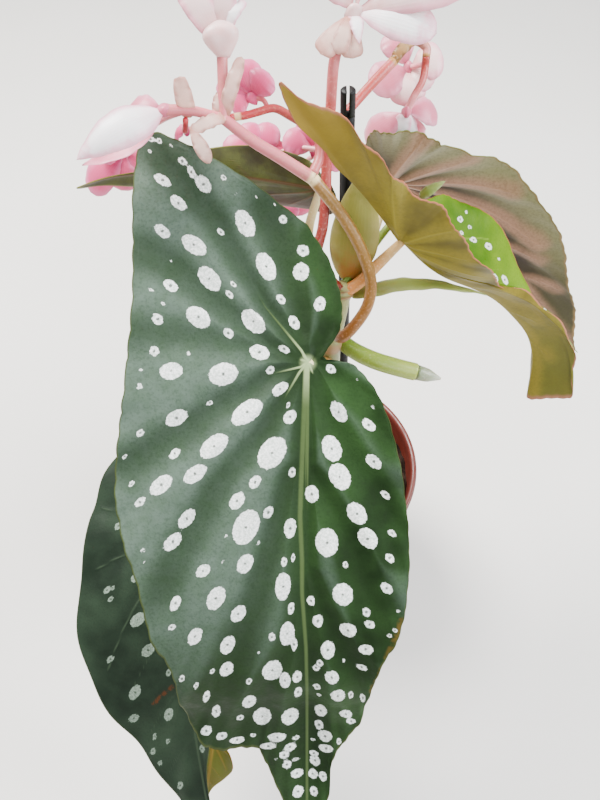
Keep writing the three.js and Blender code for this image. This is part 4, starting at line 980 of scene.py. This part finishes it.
def tepal_shape(base, tip, width, cup=0.12, bow=0.1, face=FORWARD, form="petal", blunt=0.6, thick=0.3,
                ripple=0.22, columns=26, rows=14, phase=0.0):
    """A fine cupped blade, with attributes along, side (0 middle to 1 margin) and cross (-1 to 1)."""
    base, tip = np.array(base, float), np.array(tip, float)
    length = np.linalg.norm(tip - base)
    direction = (tip - base) / length
    side = unit(np.cross(direction, np.array(face, float)))
    normal = np.cross(side, direction)
    along = np.linspace(0, 1, columns + 1)[:, None]
    cross = np.linspace(-1, 1, rows + 1)[None, :]
    shape = blade_width(form, along, blunt)
    fine = 0.5 * width * np.maximum(shape, NARROWEST * (1 - smoothstep(0.9, 1.0, along)))
    slow, fast = (waves * along * np.pi for waves in TEPAL_WAVES)
    wave = ripple * (np.sin(slow + phase) * np.abs(cross) ** 3
                     + 0.5 * np.sin(fast + 2 * phase + cross * 2) * np.abs(cross) ** 2)
    bulge = cup * width * (1 - cross ** 2) * shape + bow * length * np.sin(np.pi * along) + wave
    margin = THIN_EDGE + (1 - THIN_EDGE) * (1 - np.abs(cross) ** 6)
    middle = base + (tip - base) * along[..., None] + side * (fine * cross)[..., None]
    points = np.vstack([(middle + normal * (bulge + layer * thick / 2 * margin)[..., None]).reshape(-1, 3)
                        for layer in (1, -1)])
    row = rows + 1
    grid = np.arange(row * (columns + 1)).reshape(columns + 1, row)
    a, b = grid[:-1, :-1].ravel(), grid[1:, :-1].ravel()
    border = np.concatenate([grid[0, :-1], grid[:-1, -1], grid[-1, :0:-1], grid[:0:-1, 0]])
    following = np.roll(border, -1)
    strips = ([a, a + 1, b + 1, b], np.array([a, b, b + 1, a + 1]) + grid.size,
              [border, border + grid.size, following + grid.size, following])
    faces = [face for strip in strips for face in np.stack(strip, -1).tolist()]
    fields = dict(along=along, side=np.abs(cross), cross=cross)
    return points, faces, {label: np.tile(np.broadcast_to(values, grid.shape).ravel(), 2)
                           for label, values in fields.items()}


def ovary_shape(at, radius, towards, pear=False, columns=30, rows=18):
    """A three-winged ovary: pointed at both ends, or a pear that grows out of its stalk."""
    axis = unit(towards)
    first = unit(np.cross(axis, (1, 0, 0) if abs(axis[0]) < STEEP else (0, 1, 0)))
    second = np.cross(axis, first)
    turn = 2 * np.pi * np.arange(columns)[:, None] / columns
    length, belly, foot = PEAR if pear else POINTED
    half = radius * length
    points = []
    for share in np.arange(1, rows) / rows:
        size = math.sin(math.pi * share ** belly) ** 0.8 + foot * (1 - share)
        wing = 1 + WING * np.cos(3 * turn) * math.sin(math.pi * share)
        ring = radius * size * wing * (np.cos(turn) * first + np.sin(turn) * second)
        points.append(at + axis * half * (2 * share - 1) + ring)
    points += [at + axis * half, at - axis * half]
    last = (rows - 1) * columns
    return (np.vstack(points), ring_faces(rows - 1, columns, tips=(last + 1, last)),
            dict(along=0.3, side=0.3, cross=0.0))


def build_flower(name, base, ovary, tepals, ovary_tint=None, pear=False, slot="hot_tepal"):
    """One bloom: a piece for each tint of its tepals and ovary, together standing for its CAD node."""
    base = np.array(base, float)
    groups = {}
    for number, (tint, shape) in enumerate(tepals):
        root = base + 0.5 * ovary * unit(shape["tip"] - base)
        groups.setdefault(tint, []).append(tepal_shape(root, phase=1.7 * number, **shape))
    direction = np.mean([shape["tip"] for tint, shape in tepals], axis=0) - base
    groups.setdefault(ovary_tint or tepals[0][0], []).append(ovary_shape(base, ovary, direction, pear))
    for tint, shapes in groups.items():
        make_piece(f"{name}_{tint}", slot, name, shapes, [TEPAL_LOOKS[tint]])


# ---------------------------------------------------------------- pot, soil and stake
def pot_inner_radius(height):
    share = (height - POT["floor"]) / (BAND_FOOT - POT["floor"])
    foot = POT["base_radius"] - POT["wall"]
    return foot + (SHOULDER - POT["wall"] + BAND_EASE - foot) * share


def pot_shape():
    """The pot, turned from its profile: (radius, height) pairs from the base's middle to the floor's."""
    base, rim, lip, top, floor = (POT[key] for key in ("base_radius", "rim_radius", "lip", "height", "floor"))
    profile = [(0, 0.9), (20, 0.9), (32, 0.9), (base - 3, 0.8), (base - 1.4, 0.1), (base - 0.5, 0.1),
               (base + 0.1, 0.9)]
    profile += [(base + (SHOULDER - base) * height / BAND_FOOT, height)
                for height in np.linspace(4, BAND_FOOT - 1.2, OUTER_RINGS)]
    profile += [
        (SHOULDER - 0.1, BAND_FOOT - 0.3), (rim - 1.4, BAND_FOOT + 0.35), (rim - 0.75, BAND_FOOT + 0.95),
        (rim - 0.6, BAND_FOOT + 1.8), (rim - 0.35, BAND_FOOT + 6), (rim - 0.15, top - 2.2),
        (rim - 0.12, top - 1.2), (rim - 0.5, top - 0.35), (rim - 1.2, top - 0.05), (rim - 2.2, top - 0.12),
        (rim - lip + 0.2, top - 0.7), (rim - lip - 0.3, top - 2)]
    profile += [(min(pot_inner_radius(height), rim - lip - 0.4), height)
                for height in np.linspace(top - 5, floor + 1.5, INNER_RINGS)]
    profile += [(pot_inner_radius(floor) - 0.8, floor), (20, floor), (0, floor)]
    cosines, sines = circle(POT_SIDES)
    rings = [np.hstack([radius * cosines, radius * sines, np.full_like(sines, height)])
             for radius, height in profile[1:-1]]
    points = np.vstack([(0, 0, profile[0][1]), *rings, (0, 0, profile[-1][1])])
    return points, ring_faces(len(rings), POT_SIDES, 1, (0, len(points) - 1)), {}


def soil_shape():
    """Peaty soil: a rough top made of lumps, and a plain body down to the pot's floor."""
    random = np.random.default_rng(RANDOM_SEED)
    cosines, sines = circle(SOIL_SIDES)
    edge = pot_inner_radius(SOIL_TOP) - GAP
    shares = np.linspace(0, 1, SOIL_RINGS + 1)[1:, None]
    x, y = edge * shares * cosines.T, edge * shares * sines.T
    height = SOIL_BUMP * sum(share * np.sin(turn_x * x + turn_y * y) for share, turn_x, turn_y in SOIL_WAVES)
    for count, size, lift in SOIL_LUMPS:
        reach = edge * np.sqrt(random.uniform(0, 1, count))
        angle = random.uniform(0, 2 * np.pi, count)
        scales = random.uniform(0.5, 1, count)
        for lump_x, lump_y, scale in zip(reach * np.cos(angle), reach * np.sin(angle), scales):
            near = (np.abs(x - lump_x) < size) & (np.abs(y - lump_y) < size)
            gap = np.hypot(x[near] - lump_x, y[near] - lump_y) / (size * scale)
            height[near] += lift * scale * np.sqrt(np.clip(1 - gap ** 2, 0, 1)) - LUMP_SINK
    height = np.clip(height, *SOIL_LIMITS) - SOIL_DROP * smoothstep(SOIL_EDGE, 1.0, shares)
    foot = POT["floor"] + GAP
    foot_radius = pot_inner_radius(foot) - GAP
    points = np.vstack([
        (0, 0, SOIL_TOP + height[0].mean()),
        np.column_stack([x.ravel(), y.ravel(), SOIL_TOP + height.ravel()]),
        np.hstack([foot_radius * cosines, foot_radius * sines, np.full_like(sines, foot)]),
        (0, 0, foot)])
    return points, ring_faces(SOIL_RINGS + 1, SOIL_SIDES, 1, (0, len(points) - 1), flipped=True), {}


def stake_shapes():
    """The stake: a round bar, and beside the slot in its top two half-round prongs with eased ends."""
    foot, top = np.array(STAKE["foot"], float), np.array(STAKE["top"], float)
    radius, half_slot, length = STAKE["radius"], STAKE["slot"] / 2, STAKE["slot_depth"] / 2
    axis = unit(top - foot)
    mouth = top - axis * length
    shapes = [tube([foot, mouth], [radius] * 2, STAKE_RINGS, STAKE_SIDES)]
    across = unit(np.array([1, 0, 0]) - axis * axis[0])
    deep = np.cross(axis, across)
    reach = math.sqrt(radius ** 2 - half_slot ** 2)
    opening = math.acos(half_slot / radius)
    half = [(radius * math.cos(angle), radius * math.sin(angle))
            for angle in np.linspace(-opening, opening, PRONG_ARC)]
    half += [(half_slot, reach * share) for share in (0.6, 0.2, -0.2, -0.6)]
    rises = [(length * share, 1) for share in np.linspace(0, 1, PRONG_RINGS)[:-1]]
    rises += [(length - PRONG_EASE, 1), (length, PRONG_TOP)]
    for sign in (1, -1):
        points = [mouth + axis * rise + (across * x + deep * y) * sign * size
                  for rise, size in rises for x, y in half]
        shapes.append((np.array(points), ring_faces(len(rises), len(half)), dict(along=0.5, tone=0.5)))
    return shapes


# ---------------------------------------------------------------- stems
def cane_swell(joints):
    """A cane's swollen joints, as the height in millimetres that they stand out along it."""
    def swell(along):
        return np.max([np.exp(-((along - joint) * JOINT_TIGHTNESS) ** 2) for joint in joints], axis=0)
    return swell


def build_stems(name, stems, look, slot, node):
    shapes = []
    for stem in stems:
        length = np.linalg.norm(np.diff(np.array(stem["route"], float), axis=0), axis=1).sum()
        count = max(FEWEST_RINGS, int(length * STEM_RINGS))
        swell = stem.get("swell")
        points, faces, attributes = tube(stem["route"], stem["radii"], count, swell=swell,
                                         tone=stem.get("tone", (0, 1)))
        along = attributes["along"]
        attributes["joint"] = np.zeros(len(along))
        if "ring_at" in stem:
            attributes["joint"] = np.exp(-((along - stem["ring_at"]) * length / RING_REACH) ** 2)
        if swell:
            attributes["joint"] = swell(along)
        attributes["hue"] = np.interp(along, (0, 1), stem.get("hue", (0, 0)))
        shapes.append((points, faces, attributes))
    make_piece(name, slot, node, shapes, [look])


def build_bracts(name, bracts, look, slot, node):
    shapes = [tepal_shape(**bract, cup=0.05, thick=0.25, phase=number) for number, bract in enumerate(bracts)]
    make_piece(name, slot, node, shapes, [look])


# ---------------------------------------------------------------- build: pot, soil, stake
look = Look("terracotta_plastic", "#4f1c13", roughness=0.42)
look.paint(look.noise(18), 0.3, 0.7, "#5b241a")
look.paint(look.noise(1.2, 5), 0.5, 0.8, "#451811", 0.35)
look.paint(look.noise(6, 5, 0.7), 0.62, 0.8, "#5c3c2c", 0.15)
look.bump(look.noise(0.6), 0.04)
look.bump(look.noise(9, 2, stretch=(1, 1, 8)), 0.06, 0.3)
pot_material = look.finish(look.ramp(look.noise(4), 0.3, 0.8, 0.34, 0.58))
make_piece("pot_shell", "pot_plastic", "pot", [pot_shape()], [pot_material])

look = Look("peat", "#1d1510", roughness=0.95, specular=0.2)
look.paint(look.noise(7, 4), 0.3, 0.7, "#3a2a20")
look.paint(look.noise(1.6, 5, 0.7), 0.55, 0.75, "#5c4534", 0.8)
look.paint(look.cells(3.4), 0.12, 0.02, "#8a7258", 0.5)
look.bump(look.noise(1.1, 5, 0.7), 0.7, 0.8)
look.bump(look.noise(3.0, 4, 0.6), 1.0, 0.6)
make_piece("potting_soil", "potting_soil", "soil", [soil_shape()], [look.finish()])

look = Look("black_plastic", "#040404", roughness=0.55, specular=0.2)
look.paint(look.noise(5), 0.3, 0.7, "#0b0b0b")
look.paint(look.noise(0.9, 4, 0.7), 0.6, 0.8, "#23211e", 0.5)
look.bump(look.noise(0.5, stretch=(3, 3, 0.3)), 0.06)
stake_material = look.finish(look.ramp(look.noise(2), 0.3, 0.8, 0.45, 0.65))
make_piece("support_stake", "stake_plastic", "stake", stake_shapes(), [stake_material])

# ---------------------------------------------------------------- build: canes and stalks
cane_look = stem_look("cane_skin", "#55603a", "#6f7648", "#8b8a55", "#b3a888", ring="#8a6a48", roughness=0.5,
                      scatter=0.05)
for name, (route, radii, joints) in CANES.items():
    stem = dict(route=route, radii=radii, swell=cane_swell(joints))
    build_stems(name + "_skin", [stem], cane_look, "cane", name)

left_look = stem_look("orange_pink_skin", "#6c3c0e", "#7f5c1c", "#cb6c76", "#cc9c78", ring="#e2c896",
                      other="#a81e2e")
bract_look = tepal_look("pale_bract_skin", "#d08a78", "#ebc6b8", "#cc9082")
right_look = stem_look("red_pink_skin", "#6a1a06", "#aa3e38", "#e6a0a8", "#e0a494", ring="#a87c3c",
                       other="#7d5820")
dry_look = tepal_look("dry_bract_skin", "#9a6c34", "#b08a56", "#7c5226")
for name, slot, stems, skin, bracts in (
        ("left_flower_stalk", "orange_pink_stalk", LEFT_STALK, left_look, LEFT_BRACTS),
        ("right_flower_stalk", "red_pink_stalk", RIGHT_STALK, right_look, RIGHT_BRACTS)):
    build_stems(name + "_skin", stems, skin, slot, name)
    build_bracts(name + "_skin_bracts", bracts, bract_look, slot, name)
build_bracts("right_flower_stalk_dry_bract", DRY_BRACTS, dry_look, "red_pink_stalk", "right_flower_stalk")

# ---------------------------------------------------------------- build: leaves
# Each leaf's slot, the low colour of its stalk, and its upper and under looks.
LEAF_LOOKS = dict(
    # The big leaf's upper side gets a painted sheen: its sheen colour and its greyer tint on the wide side.
    main_leaf=(
        "spotted_leaf", "#96682a",
        leaf_top("spotted_leaf_top", "#14240f", "#294220", "#4b5c36", "#c9d2ca", "#3f4824", painted_sheen="#56665a",
                 painted_sheen_span=(-0.05, 0.4), painted_sheen_end=(0.26, 0.58), wide_tint="#212f1c", heart="#8fa072",
                 scorch="#54451c", roughness=0.55),
        leaf_under("spotted_leaf_under", "#5d241d", "#7a3a2e", "#a8584c", rim="#6f7a3c", through=0.1)),
    lower_left_leaf=(
        "dull_leaf", "#7c5832",
        leaf_top("dull_leaf_top", "#182219", "#2a382a", "#334030", "#5f6e60", "#333d24", silver="#7d8c7e",
                 scorch="#502c16", roughness=0.6),
        leaf_under("dull_leaf_under", "#5a2c22", "#6f3b30", "#955348", through=0.1)),
    young_leaf=(
        "young_leaf", "#c0742c",
        leaf_top("young_leaf_top", "#426a0a", "#739418", "#7f9c34", "#eef1e4", "#b06a4c", roughness=0.36,
                 through=0.25),
        leaf_under("young_leaf_under", "#62560a", "#8a791a", "#9c8c2c", ear="#aa882c", rim="#b07456",
                   through=0.3, ridge="#94841e", tip_tint="#6c6c14")),
    right_leaf=(
        # The right leaf's underside gets a painted shadow near its midrib and on its narrow side, where the
        # young leaf shades it.
        "leaf_underside", "#9a7645",
        leaf_top("right_leaf_top", "#22401c", "#3d5a2a", "#748356", "#d6ddd0", "#6b7a40"),
        leaf_under("right_leaf_under", "#2f200f", "#575030", "#ac8064", rim="#7a6038", through=0.1, blotch=22,
                   ridge="#a87e64", wide_tint="#98926a", tip_tint="#45421f", painted_shadow_tint="#2a1a0c")),
    back_left_leaf=(
        "red_leaf", "#9a6236",
        leaf_top("back_leaf_top", "#4a2a12", "#7c7a30", "#8a6a32", "#c9cdb4", "#7c7c34", spotted=False,
                 through=0.2),
        leaf_under("back_leaf_under", "#2e280e", "#525a1e", "#5f3f20", rim="#7a7a34", through=0.15,
                   wide_tint="#4a2412")),
    old_leaf=(
        "old_leaf", "#b8622a",
        leaf_top("old_leaf_top", "#5c561c", "#5e6826", "#806c2a", "#d6cda0", "#a8562a", spotted=False,
                 through=0.3),
        leaf_under("old_leaf_under", "#9a5622", "#7f7a22", "#a87a30", rim="#ae5c2a", through=0.35,
                   tip_tint="#6c7226")),
)
for name, (slot, stalk_colour, top, under) in LEAF_LOOKS.items():
    leaf = LEAVES[name]
    build_blade(name, slot, [top, under])
    stalk_look = stem_look(name + "_stalk_skin", stalk_colour, "#c3ae74", "#dcd3a2", "#e6dcc0")
    stalk = dict(route=leaf["stalk"], radii=leaf["stalk_radii"], tone=(0, leaf.get("stalk_tone", 0.8)))
    build_stems(name + "_stalk", [stalk], stalk_look, slot, name)

# ---------------------------------------------------------------- build: flowers, shoots and stipules
TEPAL_LOOKS = {
    WHITE: tepal_look("white_tepal", "#f7e2e6", "#fefcfc", "#f0a4ba", 0.2),
    BLUSH: tepal_look("blush_tepal", "#e4aeaa", "#f0cfcc", "#ef9cb0", 0.2),
    PINK: tepal_look("pink_tepal", "#cc6480", "#e27c96", "#eea2b8"),
    HOT: tepal_look("hot_tepal", "#c02866", "#e6528a", "#f07fac"),
}
for name, flower in FLOWERS.items():
    build_flower(name, **flower)

shoot_look = stem_look("pale_shoot_skin", "#648026", "#768c30", "#8c9a42", "#aab474", roughness=0.38,
                       scatter=0.2)
bud_look = stem_look("white_bud_skin", "#6f7a58", "#888f76", "#a4a896", "#c0c3b2", roughness=0.35,
                     scatter=0.2)
for name, stem in SHOOTS.items():
    skin, slot = (bud_look, "white_bud") if name == "shoot_bud" else (shoot_look, "pale_shoot")
    build_stems(name + "_skin", [stem], skin, slot, name)
broad_look = tepal_look("stipule_skin", "#a5712c", "#8a8a34", "#a8a050", 0.35)
green_look = tepal_look("green_stipule_skin", "#80862e", "#7c9038", "#98a65e", 0.35)
for name, stipule in STIPULES.items():
    skin = broad_look if name == "broad_stipule" else green_look
    shape = tepal_shape(**stipule, form="leaf", columns=60, rows=20)
    make_piece(name + "_skin", "pale_shoot", name, [shape], [skin])

# ---------------------------------------------------------------- stage, lights and camera
look = Look("floor_paint", "#d9d6d0", roughness=0.8)
look.paint(look.noise(400, 2), 0.3, 0.7, "#dedbd6")
bpy.ops.mesh.primitive_plane_add(size=6, location=(0, 0, 0))
floor = bpy.context.object
floor.name = "stage_floor"
floor.data.materials.append(look.finish())

scene = bpy.context.scene
scene.world = bpy.data.worlds.new("studio")
scene.world.use_nodes = True
background = scene.world.node_tree.nodes["Background"].inputs
background["Color"].default_value = (0.9, 0.95, 1.0, 1)
background["Strength"].default_value = 0.8

# Lights: name, place and size in metres, watts and tint. All of them look at the middle of the plant.
LIGHTS_AIM = (0, -0.05, 0.22)
for name, at, size, power, tint in (("key", (-0.5, 0.4, 1.15), 0.6, 50, (1, 0.98, 0.95)),
                                    ("fill", (0.9, -0.1, 0.85), 0.7, 28, (0.93, 0.96, 1)),
                                    ("front", (0.3, -1.1, 0.9), 0.8, 12, (1, 1, 1))):
    light = bpy.data.lights.new(name, "AREA")
    light.shape, light.size, light.energy, light.color = "DISK", size, power, tint
    lamp = bpy.data.objects.new(name, light)
    lamp.location = at
    lamp.rotation_euler = (Vector(LIGHTS_AIM) - Vector(at)).to_track_quat("-Z", "Y").to_euler()
    scene.collection.objects.link(lamp)

lens = bpy.data.cameras.new("photo_camera")
lens.sensor_width = SENSOR
lens.lens = FOCAL_PIXELS / PHOTO_HEIGHT * SENSOR
lens.clip_start = 0.02
camera = bpy.data.objects.new("photo_camera", lens)
camera.location = CAMERA_AT * MM
camera.rotation_euler = (math.radians(90 - CAMERA_PITCH), 0, 0)
scene.collection.objects.link(camera)
scene.camera = camera

bpy.context.view_layer.update()
